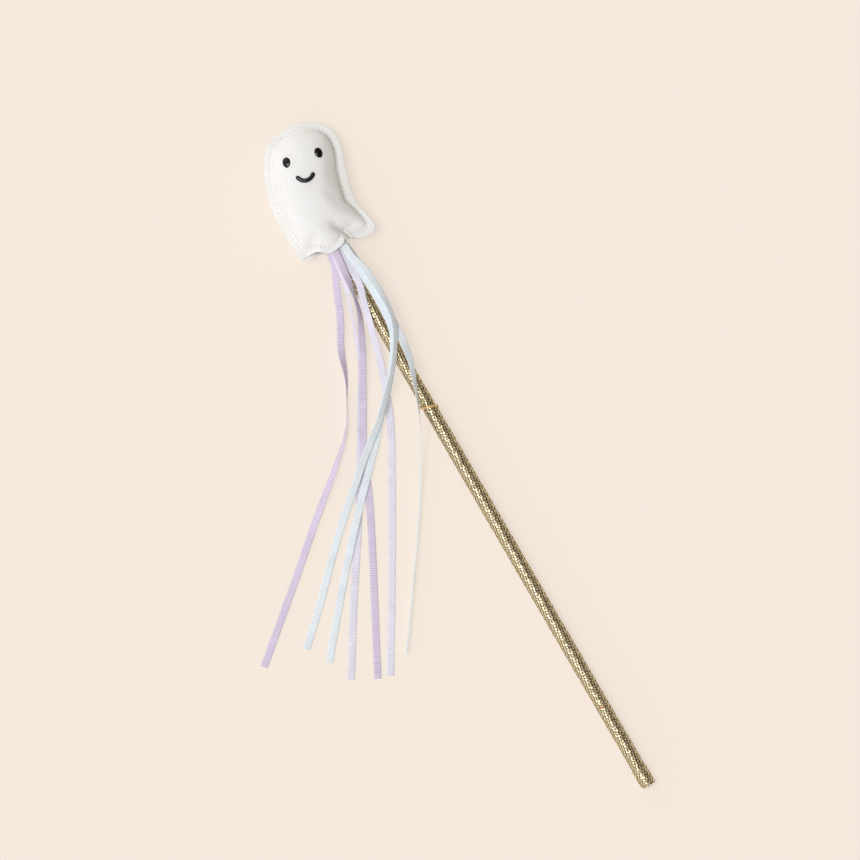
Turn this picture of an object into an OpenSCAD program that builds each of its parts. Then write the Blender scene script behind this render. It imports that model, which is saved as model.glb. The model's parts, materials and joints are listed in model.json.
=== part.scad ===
// Toy magic wand: a stuffed felt ghost on a stick wound with gold cord, with ribbons tied under its hem.
// It lies on its back. The stick runs along Y with the head towards +Y, and the floor is z = 0.

/* [Stick] */
// Length of stick that shows, from the ghost's hem to the butt
stick_len = 248; // [150:1:400]
// Diameter of the wooden core
dowel_d = 3.6; // [2.5:0.1:4.5]
// Length of the wooden core inside the head
dowel_in_head = 30; // [22:1:36]
// Diameter over the winding, from the butt to the join
winding_lower_d = 6; // [5.2:0.1:7]
// Diameter over the winding, from the join to the head
winding_upper_d = 5.8; // [5.2:0.1:6]
// Distance from the hem down to the join of the two windings
join_from_hem = 72.5; // [50:0.5:110]
// Space between the two windings, where the loose strand crosses
join_gap = 0.6; // [0.2:0.1:2]
// Length of the upper winding that runs up inside the hem
winding_in_head = 1; // [0.6:0.1:1.2]
// Diameter of the cord turned in over the butt
butt_d = 6.5; // [6:0.1:8]
// Length of the cord turned in over the butt
butt_len = 8; // [4:0.5:20]
// Thickness of the cord across the end of the stick
butt_wall = 1.2; // [0.6:0.1:3]
// Rounding of the butt's edge
butt_round = 1.2; // [0.4:0.1:2]
// Diameter of the loose strand at the join
strand_d = 0.6; // [0.3:0.1:1]
// Turns of the loose strand round the stick
strand_turns = 1.25; // [0.5:0.25:3]
// Climb of the loose strand along the stick in one turn
strand_pitch = 5; // [2:0.5:10]

/* [Head] */
// Width of the ghost's dome
head_w = 34; // [30:0.5:44]
// Height of the ghost from hem to crown
head_h = 53; // [48:0.5:70]
// Turn of the ghost away from the stick's line, in degrees
head_turn = 13; // [0:1:20]
// Thickness of the felt
felt_t = 0.9; // [0.6:0.1:1.2]
// Swell of the front over the sewn margin
front_swell = 9; // [7.5:0.25:14]
// Swell of the back under the sewn margin
back_swell = 7; // [6.5:0.25:10]
// Depth to which the back is flattened where it lies on the table
rest_flat = 0.5; // [0.2:0.1:1]
// Distance from the cut edge in to the stitches
margin_w = 2.2; // [1.6:0.1:3]
// Width from the stitches in to where the swell starts
swell_start_w = 0.7; // [0.4:0.1:1.5]
// Space between the two felt layers at the margin
margin_gap = 0.04; // [0.02:0.01:0.2]
// Height of the front hem's arch over the stick and the ribbons
hem_arch_h = 4.7; // [4.6:0.1:6]
// Half width of the flat top of the front hem's arch
hem_arch_half_w = 5.4; // [5.2:0.1:7]
// Depth of the back hem's arch under the stick
back_arch_h = 3.1; // [3.1:0.1:4]
// Half width of the flat part of the back hem's arch
back_arch_half_w = 3; // [3:0.1:5]
// Width over which a hem's arch falls to the margin
arch_fall_w = 5; // [3:0.5:8]
// Space between the felt and the stuffing
stuffing_gap = 0.15; // [0.05:0.05:0.5]

/* [Face] */
// Width of an eye
eye_w = 3; // [2:0.1:5]
// Height of an eye
eye_h = 4.1; // [2.5:0.1:6]
// Height that an eye stands out of the felt
eye_rise = 0.7; // [0.3:0.1:0.8]
// Distance between the eyes' centres, as a share of the head's width
eye_spacing_share = 0.394; // [0.25:0.01:0.5]
// Width of the mouth, end to end
mouth_w = 6.8; // [4:0.2:10]
// Depth of the mouth's curve
mouth_sag = 2; // [1:0.1:3]
// Width of the mouth's stroke
mouth_stroke = 1.5; // [0.8:0.1:1.6]

/* [Stitches] */
// Distance from one stitch to the next
stitch_pitch = 2; // [1.6:0.1:4]
// Length of thread that shows in one stitch
stitch_len = 1.3; // [0.8:0.1:1.5]
// Diameter of the sewing thread
thread_d = 0.4; // [0.2:0.05:0.6]

/* [Ribbons] */
// Width of a ribbon
ribbon_w = 3; // [2:0.1:3.1]
// Thickness of a ribbon
ribbon_t = 0.3; // [0.1:0.05:0.3]
// Distance inside the hem at which the roots end and the free ribbons start
root_from_hem = 1.4; // [1.2:0.1:2]
// Distance inside the hem at which the tie starts
tie_from_hem = 9; // [8.5:0.25:10]
// Turns of the tying thread
tie_turns = 4; // [2:1:6]
// Diameter of the tying thread
tie_d = 0.5; // [0.3:0.05:0.6]
// Distance from one turn of the tie to the next
tie_pitch = 1; // [1:0.05:1.2]

/* [Hidden] */
$fn = 64;

// Clearance between pieces that slide over each other when the wand is made
slip = 0.05;
// Length by which a cut runs past the piece that it cuts
overrun = 1;
// Chamfer at the top of the wooden core
dowel_chamfer = 0.4;

// The seam's height: the back's swell rests on the table, flattened a little
seam_z = felt_t + back_swell - rest_flat;
// The stick falls from the seam at the hem to the butt, which lies on the table too
stick_fall = asin((seam_z - butt_d / 2) / (stick_len - butt_round));

// Ghost outline, clockwise from the crown, as shares of the head's width and height from the hem point
outline_shares = [
    [-0.106, 0.994], [0.02, 0.996], [0.126, 0.983], [0.238, 0.953], [0.326, 0.9], [0.379, 0.828],
    [0.397, 0.738], [0.382, 0.65], [0.356, 0.455], [0.371, 0.311], [0.435, 0.213], [0.509, 0.098],
    [0.45, 0.062], [0.35, 0.034], [0.238, 0.04], [0.124, 0.062], [0.09, 0.036], [0.012, 0.0075],
    [-0.1, -0.011], [-0.176, 0.011], [-0.27, 0.026], [-0.441, 0.009], [-0.485, 0.074], [-0.556, 0.24],
    [-0.606, 0.45], [-0.582, 0.657], [-0.535, 0.768], [-0.465, 0.875], [-0.391, 0.925], [-0.259, 0.966]];
// Steps along the curve from one outline point to the next
outline_steps = 2;
// Middle of the swell, as shares of the head's width and height
swell_middle_shares = [-0.088, 0.453];
// Rings of the swell, as shares of the way out from its middle
swell_ring_shares = [0.91, 0.78, 0.62, 0.4, 0.2];
// Powers that shape the swell: how long it stays full, and how round its shoulder is
swell_full_power = 2.4;
swell_shoulder_power = 0.62;
// The hem's arch is full up to the first share of the head's height and gone at the second
arch_reach_shares = [0.15, 0.38];
// Steepest slant of the margin to the middle's direction that widens its inset
margin_slant_share = 0.75;
// Height of the eyes and the middle of the face, as shares of the head's height and width
eye_up_share = 0.743;
face_middle_share = -0.082;
// Turn of each eye against the face's upright, in degrees
eye_turns = [-10, 2];
// The mouth's middle, as shares of the head's width and height, and its turn in degrees
mouth_middle_shares = [-0.109, 0.591];
mouth_turn = -4;
// Points along the mouth, and sides of its stroke
mouth_steps = 12;
mouth_sides = 8;
// Size of the mouth's last rings, as shares of the stroke, which round its ends off
mouth_end_shares = [0.35, 0.75];

// Rings in one turn of a wound thread, and its sides
wound_rings = 24;
wound_sides = 6;
// Half width and half height of the tie, round the wooden core and the ribbons' roots
tie_half_w = 6;
tie_half_h = 4.2;
// Height of the tie's middle over the stick's axis
tie_lift = 0.5;
// Room in the stuffing round the tie
tie_room = 0.4;

// Ribbons lie in layers over the stick: the layers' spacing, and how the roots gather towards the tie
layer_step = 0.35;
roots_gather_share = 0.7;
roots_past_tie = 0.8;
// Distance inside the hem at which the roots' cut ends lie
roots_y = tie_from_hem + tie_turns * tie_pitch + roots_past_tie;

// Ribbon routes from the hem to the cut end: x, y, height, and roll about the route in degrees.
// The points are measured from the hem, on the stick's line, and the height from the table.
route_lilac_left = [
    [-3.5, 0.6, 10.6, 0], [-4.6, -5.5, 9.9, -5], [-7.5, -11.5, 8.4, -10], [-13, -24, 5.4, 0],
    [-19, -35, 3.4, 20], [-23, -46, 2.2, 66], [-28, -55, 1.7, 90], [-34, -64.5, 1.5, 116],
    [-44.5, -74.5, 0.7, 164], [-62, -89, 0.3, 180], [-81, -105.5, 0.25, 180], [-109.5, -129.5, 0.25, 180]];
route_lilac_middle = [
    [-1.2, 0.6, 11.6, 0], [-2, -7, 11.7, 6], [-2.8, -14, 11.5, 40], [-3.8, -20, 10.6, 62],
    [-5.5, -26.5, 8.8, 48], [-8, -32, 7.1, 28], [-11.5, -39, 5, 10], [-16, -47, 2.9, 4],
    [-22.5, -58.5, 1.5, 0], [-31.5, -74.5, 1, 0], [-43, -100, 0.5, 0], [-72.5, -156.5, 0.4, 6]];
route_pale_left = [
    [-1.9, 0.6, 11.1, 0], [-2.9, -7, 10.8, -5], [-5.2, -16, 9, -30], [-7.4, -22.5, 7.3, -50],
    [-11.5, -34, 4.3, -55], [-14.2, -40.5, 2.6, -30], [-18, -47, 1.5, -16], [-22.5, -54.5, 0.8, -8],
    [-31, -69, 0.25, 0], [-45, -93, 0.25, 0], [-65, -124.5, 0.25, 0], [-82, -151.5, 0.25, 0]];
route_pale_right = [
    [0.9, 0.6, 10.6, 0], [0.9, -6.5, 10.6, 0], [0.5, -16, 10.5, -5], [-1.3, -22, 10.2, -10],
    [-2.8, -28, 9.6, -18], [-4.3, -34, 8.3, -22], [-7, -44.5, 5.6, -15], [-9.7, -52.5, 3.7, -8],
    [-15, -66.5, 1.3, 0], [-22.5, -81.5, 0.35, 0], [-46.5, -123, 0.25, 0], [-67.5, -158, 0.25, 0]];
route_blue_upper = [
    [3.1, 0.6, 11.6, 0], [3.4, -5, 12, 0], [5.4, -13, 12.2, 3], [6.2, -24, 12.1, 6], [5.5, -34, 12, 10],
    [2.4, -41.5, 11.9, 16], [-1.5, -47.5, 11.5, 18], [-5.7, -53, 10.2, 16], [-12.7, -60, 7.4, 13],
    [-20.3, -67.5, 4.7, 8], [-31.2, -76, 2.7, 0], [-44.5, -87.5, 1.6, 0], [-58, -99.5, 0.9, 0],
    [-78.5, -120, 0.4, 0], [-91.5, -132, 0.25, 0]];
route_blue_lower = [
    [2.6, 0.6, 11.1, 0], [3, -6, 11.3, 0], [3.8, -16, 11.3, 0], [3.9, -27, 11.1, 3], [3.1, -37, 11, 6],
    [0.5, -43.5, 10.9, 12], [-3.5, -49.5, 10, 16], [-8, -55, 8.1, 16], [-13, -60.5, 6, 13],
    [-19, -66.5, 3.8, 9], [-27, -75.5, 1.9, 4], [-41, -90, 1.3, 0], [-55.5, -105.5, 0.9, 0],
    [-70, -122, 0.4, 0], [-86, -141, 0.25, 0]];
route_blue_right = [
    [3.4, 0.6, 9.95, 0], [4.2, -8, 10, 3], [4.8, -20, 10, 4], [4.8, -32, 10, 4], [4.4, -41, 9.9, 3],
    [3.1, -51.5, 10.2, 22], [0.5, -59.5, 10.85, 50], [-2.9, -68.5, 10.8, 76], [-7.3, -78.5, 7.6, 84],
    [-13.3, -89, 4.8, 86], [-20.5, -100.5, 2.5, 86], [-32.5, -118.5, 1.7, 86], [-57.5, -153.5, 1.65, 84]];
// The roots, from the lowest layer up: each ribbon's route and its layer at the tie
root_layers = [[route_blue_right, 0], [route_lilac_left, 1], [route_pale_right, 1], [route_pale_left, 2],
               [route_blue_lower, 2], [route_lilac_middle, 3], [route_blue_upper, 3]];

felt_white = [0.94, 0.93, 0.91];
gold = [0.66, 0.58, 0.36];
copper = [0.85, 0.55, 0.38];
birch = [0.82, 0.7, 0.5];
thread_white = [0.9, 0.88, 0.84];
paint_black = [0.05, 0.05, 0.06];
lilac = [0.84, 0.79, 0.87];
pale_lilac = [0.89, 0.88, 0.92];
pale_blue = [0.88, 0.91, 0.94];

// Numbers
function held(v, low, high) = min(max(v, low), high);
function eased(v) = let (t = held(v, 0, 1)) t * t * (3 - 2 * t);
function unit(v) = v / norm(v);
function flat(lists) = [for (l = lists) each l];
function turned(p, a) = [p.x * cos(a) - p.y * sin(a), p.x * sin(a) + p.y * cos(a)];

// Head outline in the wand's frame
function on_head(s) = turned([s.x * head_w, s.y * head_h], -head_turn);
function between(a, b, c, d, t) =
    (2 * b + (c - a) * t + (2 * a - 5 * b + 4 * c - d) * t * t + (3 * b - a - 3 * c + d) * t * t * t) / 2;
outline_points = len(outline_shares);
edge_line = [for (i = [0:outline_points - 1], s = [0:outline_steps - 1])
    on_head(between(outline_shares[(i + outline_points - 1) % outline_points], outline_shares[i],
                    outline_shares[(i + 1) % outline_points], outline_shares[(i + 2) % outline_points],
                    s / outline_steps))];
spokes = len(edge_line);
swell_middle = on_head(swell_middle_shares);
function inset(i, w) =
    let (p = edge_line[i],
         along = unit(edge_line[(i + 1) % spokes] - edge_line[(i + spokes - 1) % spokes]),
         inward = [along.y, -along.x],
         middle = unit(swell_middle - p))
    p + middle * w / max(margin_slant_share, inward * middle);
stitch_line = [for (i = [0:spokes - 1]) inset(i, margin_w)];
swell_line = [for (i = [0:spokes - 1]) inset(i, margin_w + swell_start_w)];

// Origin: the middle of the head and stick, seen from above
mid_x = (min([for (p = edge_line) p.x]) + max([for (p = edge_line) p.x])) / 2;
butt_y = -stick_len * cos(stick_fall) - (butt_d / 2 - butt_round) * sin(stick_fall);
mid_y = (max([for (p = edge_line) p.y]) + butt_y) / 2;

// Heights of the felt over and under the seam, k of the way out from the swell's middle
function swell(k) = pow(1 - pow(k, swell_full_power), swell_shoulder_power);
function arch(p, h, half_w) = h * (1 - eased((abs(p.x) - half_w) / arch_fall_w))
    * (1 - eased((p.y / head_h - arch_reach_shares[0]) / (arch_reach_shares[1] - arch_reach_shares[0])));
function front_inner(p, k) = seam_z + margin_gap / 2
    + max(front_swell * swell(k), arch(p, hem_arch_h, hem_arch_half_w));
function front_outer(p, k) = front_inner(p, k) + felt_t;
function back_outer(p, k) = max(0, seam_z - margin_gap / 2 - felt_t
    - max(back_swell * swell(k), arch(p, back_arch_h, back_arch_half_w)));
function back_inner(p, k) = back_outer(p, k) + felt_t;
function ring_at(line, k) = [for (p = line) swell_middle + (p - swell_middle) * k];

// Height of the front's surface at any place on the head
function front_surface(p) =
    let (out = [for (i = [0:spokes - 1])
                let (a = swell_line[i] - swell_middle, b = swell_line[(i + 1) % spokes] - swell_middle,
                     q = p - swell_middle, turn = cross(a, b), u = cross(q, b) / turn, v = cross(a, q) / turn)
                if (u >= 0 && v >= 0) u + v])
    front_outer(p, min(1, out[0]));
function front_normal(p) =
    let (sx = front_surface(p + [slip, 0]) - front_surface(p - [slip, 0]),
         sy = front_surface(p + [0, slip]) - front_surface(p - [0, slip]))
    unit([-sx / (2 * slip), -sy / (2 * slip), 1]);

// Triangles of a wall between rings of points, with fans at both ends. On some rows and sides each
// square is cut along its other diagonal, so that the two faces of a thin sheet stay parallel.
function wall_faces(rings, sides, other_rows, other_sides) = [for (i = [0:rings - 2], j = [0:sides - 1])
    let (a = i * sides + j, b = i * sides + (j + 1) % sides, c = b + sides, d = a + sides)
    each i < other_rows || j >= sides - other_sides ? [[a, b, d], [b, c, d]] : [[a, b, c], [a, c, d]]];
function fan_faces(first, sides, up) = [for (j = [1:sides - 2])
    up ? [first, first + j, first + j + 1] : [first, first + j + 1, first + j]];

// A solid skinned over rings of points, from the first ring to the last
module skin(rings) {
    sides = len(rings[0]);
    last = (len(rings) - 1) * sides;
    polyhedron(points = flat(rings),
               faces = concat(wall_faces(len(rings), sides, 0, sides / 2), fan_faces(0, sides, false),
                              fan_faces(last, sides, true)));
}

// A solid between two domed surfaces, each given as rings from the rim inward and a middle point
module domed(upper_rings, upper_middle, lower_rings, lower_middle) {
    count = len(upper_rings);
    rings = concat([for (i = [count - 1:-1:0]) lower_rings[i]], upper_rings);
    wall = wall_faces(2 * count, spokes, count - 1, 0);
    lower_top = 2 * count * spokes;
    upper_top = lower_top + 1;
    last = (2 * count - 1) * spokes;
    fans = [for (j = [0:spokes - 1]) let (n = (j + 1) % spokes)
        each [[lower_top, n, j], [upper_top, last + j, last + n]]];
    polyhedron(points = concat(flat(rings), [lower_middle, upper_middle]), faces = concat(wall, fans));
}

// Directions across and above a route at one of its points
function route_along(route, i) = let (n = len(route), a = route[max(i - 1, 0)], b = route[min(i + 1, n - 1)])
    unit([b.x - a.x, b.y - a.y, b.z - a.z]);
function ribbon_ring(route, i) =
    let (p = [route[i].x, route[i].y, route[i].z], roll = route[i][3], along = route_along(route, i),
         level = unit(cross(along, [0, 0, 1])), above = cross(level, along),
         w = (level * cos(roll) + above * sin(roll)) * ribbon_w / 2,
         t = cross(w, along) / norm(w) * ribbon_t / 2)
    [p + w + t, p + w - t, p - w - t, p - w + t];

// A flat ribbon along a route
module ribbon(route) {
    skin([for (i = [0:len(route) - 1]) ribbon_ring(route, i)]);
}

// Rings of a round thread along points, each with its own size
function thread_rings(points, sizes, sides) = [for (i = [0:len(points) - 1])
    let (along = route_along(points, i), level = unit(cross(along, abs(along.z) > 0.9 ? [1, 0, 0] : [0, 0, 1])),
         above = cross(level, along))
    [for (j = [0:sides - 1]) points[i] + sizes[i] / 2 * (level * cos(360 * j / sides) - above * sin(360 * j / sides))]];

// Moves what is measured from the hem, on the stick's line, to the part's own frame
module from_hem() {
    translate([-mid_x, -mid_y, 0]) children();
}

// Puts children that stand on z = 0 along the stick: their z runs from the hem point towards the head
module along_stick() {
    from_hem() translate([0, 0, seam_z]) rotate([-90 + stick_fall, 0, 0]) children();
}

// A round sleeve along the stick, from one distance to another
module sleeve(from, to, outer_d, inner_d) {
    along_stick() difference() {
        translate([0, 0, from]) cylinder(d = outer_d, h = to - from);
        translate([0, 0, from - overrun]) cylinder(d = inner_d, h = to - from + 2 * overrun);
    }
}

module dowel() {
    low = -stick_len + butt_wall + slip;
    color(birch) along_stick() rotate_extrude() polygon([[0, low], [dowel_d / 2, low],
        [dowel_d / 2, dowel_in_head - dowel_chamfer], [dowel_d / 2 - dowel_chamfer, dowel_in_head],
        [0, dowel_in_head]]);
}

module winding_lower() {
    color(gold) sleeve(-stick_len + butt_len + slip, -join_from_hem - join_gap / 2,
                       winding_lower_d, dowel_d + 2 * slip);
}

module winding_upper() {
    color(gold) sleeve(-join_from_hem + join_gap / 2, winding_in_head, winding_upper_d, dowel_d + 2 * slip);
}

module winding_end() {
    bore = dowel_d / 2 + slip;
    corner = butt_d / 2 - butt_round;
    color(gold) along_stick() translate([0, 0, -stick_len]) difference() {
        union() {
            translate([0, 0, butt_round]) cylinder(d = butt_d, h = butt_len - butt_round);
            cylinder(r = corner, h = butt_round);
            translate([0, 0, butt_round]) rotate_extrude() translate([corner, 0]) circle(r = butt_round);
        }
        translate([0, 0, butt_wall]) cylinder(r = bore, h = butt_len);
    }
}

module splice_strand() {
    radius = winding_lower_d / 2 + strand_d / 2 + slip;
    count = ceil(strand_turns * wound_rings);
    points = [for (i = [0:count]) let (turn = strand_turns * (i / count - 1 / 2))
        [radius * sin(360 * turn), radius * cos(360 * turn), turn * strand_pitch - join_from_hem]];
    sizes = [for (i = [0:count]) strand_d];
    color(copper) along_stick() skin(thread_rings(points, sizes, wound_sides));
}

// One felt panel's rings: cut edge, stitches, start of the swell, then the swell itself
panel_lines = concat([edge_line, stitch_line, swell_line], [for (k = swell_ring_shares) ring_at(swell_line, k)]);
panel_shares = concat([1, 1, 1], swell_ring_shares);

module head_front() {
    upper = [for (r = [0:len(panel_lines) - 1]) [for (p = panel_lines[r]) [p.x, p.y, front_outer(p, panel_shares[r])]]];
    lower = [for (r = [0:len(panel_lines) - 1]) [for (p = panel_lines[r]) [p.x, p.y, front_inner(p, panel_shares[r])]]];
    m = swell_middle;
    color(felt_white) from_hem() domed(upper, [m.x, m.y, front_outer(m, 0)], lower, [m.x, m.y, front_inner(m, 0)]);
}

module head_back() {
    upper = [for (r = [0:len(panel_lines) - 1]) [for (p = panel_lines[r]) [p.x, p.y, back_inner(p, panel_shares[r])]]];
    lower = [for (r = [0:len(panel_lines) - 1]) [for (p = panel_lines[r]) [p.x, p.y, back_outer(p, panel_shares[r])]]];
    m = swell_middle;
    color(felt_white) from_hem() domed(upper, [m.x, m.y, back_inner(m, 0)], lower, [m.x, m.y, back_outer(m, 0)]);
}

module stuffing() {
    lines = [for (k = swell_ring_shares) ring_at(swell_line, k)];
    upper = [for (r = [0:len(lines) - 1])
        [for (p = lines[r]) [p.x, p.y, front_inner(p, swell_ring_shares[r]) - stuffing_gap]]];
    lower = [for (r = [0:len(lines) - 1])
        [for (p = lines[r]) [p.x, p.y, back_inner(p, swell_ring_shares[r]) + stuffing_gap]]];
    m = swell_middle;
    color(felt_white) difference() {
        from_hem() domed(upper, [m.x, m.y, front_inner(m, 0) - stuffing_gap],
                         lower, [m.x, m.y, back_inner(m, 0) + stuffing_gap]);
        along_stick() cylinder(d = dowel_d + 2 * slip, h = dowel_in_head + slip);
        along_stick() translate([0, -tie_lift, 0])
            cylinder(r = tie_half_w + tie_d / 2 + tie_room, h = roots_y + tie_room);
    }
}

// Stitches: short lengths of thread laid along a closed line at an even pitch
function line_lengths(line) = [for (i = 0, s = 0; i <= len(line);
    s = s + norm(line[(i + 1) % len(line)] - line[i % len(line)]), i = i + 1) s];
module stitches(line) {
    lengths = line_lengths(line);
    total = lengths[len(line)];
    count = round(total / stitch_pitch);
    for (n = [0:count - 1]) {
        at = (n + 1 / 2) * total / count;
        i = [for (k = [0:len(line) - 1]) if (lengths[k] <= at && at < lengths[k + 1]) k][0];
        a = line[i];
        b = line[(i + 1) % len(line)];
        along = unit(b - a);
        p = a + along * (at - lengths[i]);
        translate(p) rotate([0, acos(along.z), atan2(along.y, along.x)])
            cylinder(d = thread_d, h = stitch_len, center = true, $fn = 16);
    }
}

module front_stitches() {
    color(thread_white) from_hem() stitches([for (p = stitch_line) [p.x, p.y, front_outer(p, 1) + thread_d / 4]]);
}

module back_stitches() {
    color(thread_white) from_hem() stitches([for (p = stitch_line) [p.x, p.y, back_outer(p, 1) - thread_d / 4]]);
}

// An eye: an oval drop of paint on the face, square to the felt there
module eye(side, turn) {
    p = on_head([face_middle_share + side * eye_spacing_share / 2, eye_up_share]);
    n = front_normal(p);
    color(paint_black) from_hem() translate([p.x, p.y, front_surface(p) ])
        rotate([0, acos(n.z), atan2(n.y, n.x)]) rotate([0, 0, -atan2(n.y, n.x) - head_turn + turn])
        scale([eye_w / 2, eye_h / 2, eye_rise]) sphere(r = 1, $fn = 24);
}

module eye_left() {
    eye(-1, eye_turns[0]);
}

module eye_right() {
    eye(1, eye_turns[1]);
}

module mouth() {
    radius = (mouth_w * mouth_w / 4 + mouth_sag * mouth_sag) / (2 * mouth_sag);
    half = asin(mouth_w / 2 / radius);
    middle = [mouth_middle_shares.x * head_w, mouth_middle_shares.y * head_h];
    points = [for (i = [0:mouth_steps]) let (a = half * (2 * i / mouth_steps - 1),
        q = middle + turned([radius * sin(a), mouth_sag / 2 + radius - mouth_sag - radius * cos(a)], mouth_turn),
        p = turned(q, -head_turn)) [p.x, p.y, front_surface(p)]];
    sizes = [for (i = [0:mouth_steps]) let (end = min(i, mouth_steps - i))
        mouth_stroke * (end < len(mouth_end_shares) ? mouth_end_shares[end] : 1)];
    color(paint_black) from_hem() skin(thread_rings(points, sizes, mouth_sides));
}

module ribbon_roots() {
    color(pale_lilac) from_hem() for (root = root_layers) {
        start = root[0][0];
        at_tie = seam_z + roots_y * tan(stick_fall) + dowel_d / 2 + ribbon_t + root[1] * layer_step;
        ribbon([[start.x * roots_gather_share, roots_y, at_tie, 0],
                [start.x * roots_gather_share, tie_from_hem - roots_past_tie, at_tie, 0],
                [start.x, root_from_hem, start.z, 0]]);
    }
}

tie_points = [for (i = [0:tie_turns * wound_rings]) let (turn = 360 * i / wound_rings)
    [tie_half_w * cos(turn), -tie_lift - tie_half_h * sin(turn), tie_from_hem + i * tie_pitch / wound_rings]];
tie_least_gap = min([for (i = [0:len(tie_points) - 1], k = [i + wound_rings / 2:1:len(tie_points) - 1])
    norm(tie_points[i] - tie_points[k])]) - tie_d;
echo(ribbon_tie_least_gap_mm = tie_least_gap);

module ribbon_tie() {
    color(thread_white) along_stick() skin(thread_rings(tie_points, [for (p = tie_points) tie_d], wound_sides));
}

module ribbon_lilac_left() {
    color(lilac) from_hem() ribbon(route_lilac_left);
}

module ribbon_lilac_middle() {
    color(lilac) from_hem() ribbon(route_lilac_middle);
}

module ribbon_pale_left() {
    color(pale_lilac) from_hem() ribbon(route_pale_left);
}

module ribbon_pale_right() {
    color(pale_lilac) from_hem() ribbon(route_pale_right);
}

module ribbon_blue_upper() {
    color(pale_blue) from_hem() ribbon(route_blue_upper);
}

module ribbon_blue_lower() {
    color(pale_blue) from_hem() ribbon(route_blue_lower);
}

module ribbon_blue_right() {
    color(pale_blue) from_hem() ribbon(route_blue_right);
}

dowel();
winding_lower();
winding_upper();
winding_end();
splice_strand();
head_front();
head_back();
stuffing();
front_stitches();
back_stitches();
eye_left();
eye_right();
mouth();
ribbon_roots();
ribbon_tie();
ribbon_lilac_left();
ribbon_lilac_middle();
ribbon_pale_left();
ribbon_pale_right();
ribbon_blue_upper();
ribbon_blue_lower();
ribbon_blue_right();
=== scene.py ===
# %% [markdown]
# A toy wand lies on a pale table. A stuffed felt ghost with a plain smile is sewn on the end of a stick,
# the stick is wound with gold cord, and seven narrow grosgrain ribbons are tied under the ghost's hem.
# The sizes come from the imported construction, which is loaded first and never moved. Everything that
# the eye meets is built over it here.

# %% Load the construction as a fixed frame
import json
import math

import bpy
import numpy as np
from mathutils import Matrix, Vector, geometry, kdtree
from mathutils.bvhtree import BVHTree


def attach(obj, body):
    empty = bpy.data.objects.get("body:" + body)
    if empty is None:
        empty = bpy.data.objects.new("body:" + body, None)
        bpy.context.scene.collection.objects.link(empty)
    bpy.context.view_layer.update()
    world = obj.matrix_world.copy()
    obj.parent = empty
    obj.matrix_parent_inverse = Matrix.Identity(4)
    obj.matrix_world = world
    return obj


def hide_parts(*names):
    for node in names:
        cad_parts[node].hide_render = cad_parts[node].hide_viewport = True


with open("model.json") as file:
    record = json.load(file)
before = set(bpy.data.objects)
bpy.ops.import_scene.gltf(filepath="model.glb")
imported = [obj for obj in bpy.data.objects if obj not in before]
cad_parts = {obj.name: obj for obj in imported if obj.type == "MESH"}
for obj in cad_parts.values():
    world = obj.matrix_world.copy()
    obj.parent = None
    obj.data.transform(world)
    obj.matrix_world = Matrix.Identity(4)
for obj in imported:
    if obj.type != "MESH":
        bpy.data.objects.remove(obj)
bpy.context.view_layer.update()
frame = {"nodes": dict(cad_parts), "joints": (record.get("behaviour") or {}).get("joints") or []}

scene = bpy.context.scene
scene.view_settings.view_transform = "Standard"

# %% [markdown]
# The photograph looks straight down on the table from far away. A long lens on a high camera gives that
# view almost without perspective. The wand leans 30 degrees in the picture, so the camera is turned on
# its own axis and the wand stays square in its frame.

# %% Camera
mm = 0.001
picture_turn = math.radians(-30.12)
picture_middle = Vector((-7.8, 17.22, 5.0)) * mm
picture_width = 344 * mm

lens = bpy.data.cameras.new("camera")
lens.lens, lens.sensor_width = 300, 36
camera = bpy.data.objects.new("camera", lens)
camera.location = picture_middle + Vector((0, 0, picture_width * lens.lens / lens.sensor_width))
camera.rotation_euler = (0, 0, picture_turn)
scene.collection.objects.link(camera)
scene.camera = camera
print("camera height in m:", round(camera.location.z, 3))

# %% [markdown]
# Colours are written as they would be picked from a screen and turned to linear light by one function.
# One small function adds a node of any kind, with its settings, values and links. A value may be a
# number, a colour, a socket or a whole node, whose first output in use is then linked. Shaders and
# Geometry Nodes use the same function.

# %% Helpers for colours and nodes
def linear(colour):
    parts = [int(colour[i:i + 2], 16) / 255 for i in (1, 3, 5)]
    return tuple(c / 12.92 if c <= 0.04045 else ((c + 0.055) / 1.055) ** 2.4 for c in parts) + (1.0,)


def add(tree, kind, values=None, **settings):
    node = tree.nodes.new(kind)
    for name, value in settings.items():
        setattr(node, name, value)
    for socket, value in (values or {}).items():
        if isinstance(value, bpy.types.Node):
            value = next(output for output in value.outputs if output.enabled)
        if isinstance(value, bpy.types.NodeSocket):
            tree.links.new(value, node.inputs[socket])
        else:
            node.inputs[socket].default_value = linear(value) if str(value).startswith("#") else value
    return node


def new_material(name):
    material = bpy.data.materials.new(name)
    material.use_nodes = True
    tree = material.node_tree
    tree.nodes.clear()
    return material, tree, add(tree, "ShaderNodeTexCoord").outputs["Object"]


print("peach card in linear light:", [round(c, 3) for c in linear("#F6EADE")[:3]])

# %% [markdown]
# The table is smooth peach card, lit so evenly in the photograph that the shadows almost vanish. The card
# therefore glows a little for the camera and still takes a soft shadow. The light is one large soft lamp
# up on the left and a studio that is bright on the left and dim on the right. The dim side is what makes
# the gold cord brown there, and what shades the right side of the stuffed head. Bright walls beyond both
# ends of the wand light the flanks of the cord's turns.

# %% Floor
floor_card, tree, place = new_material("smooth peach card")
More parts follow.
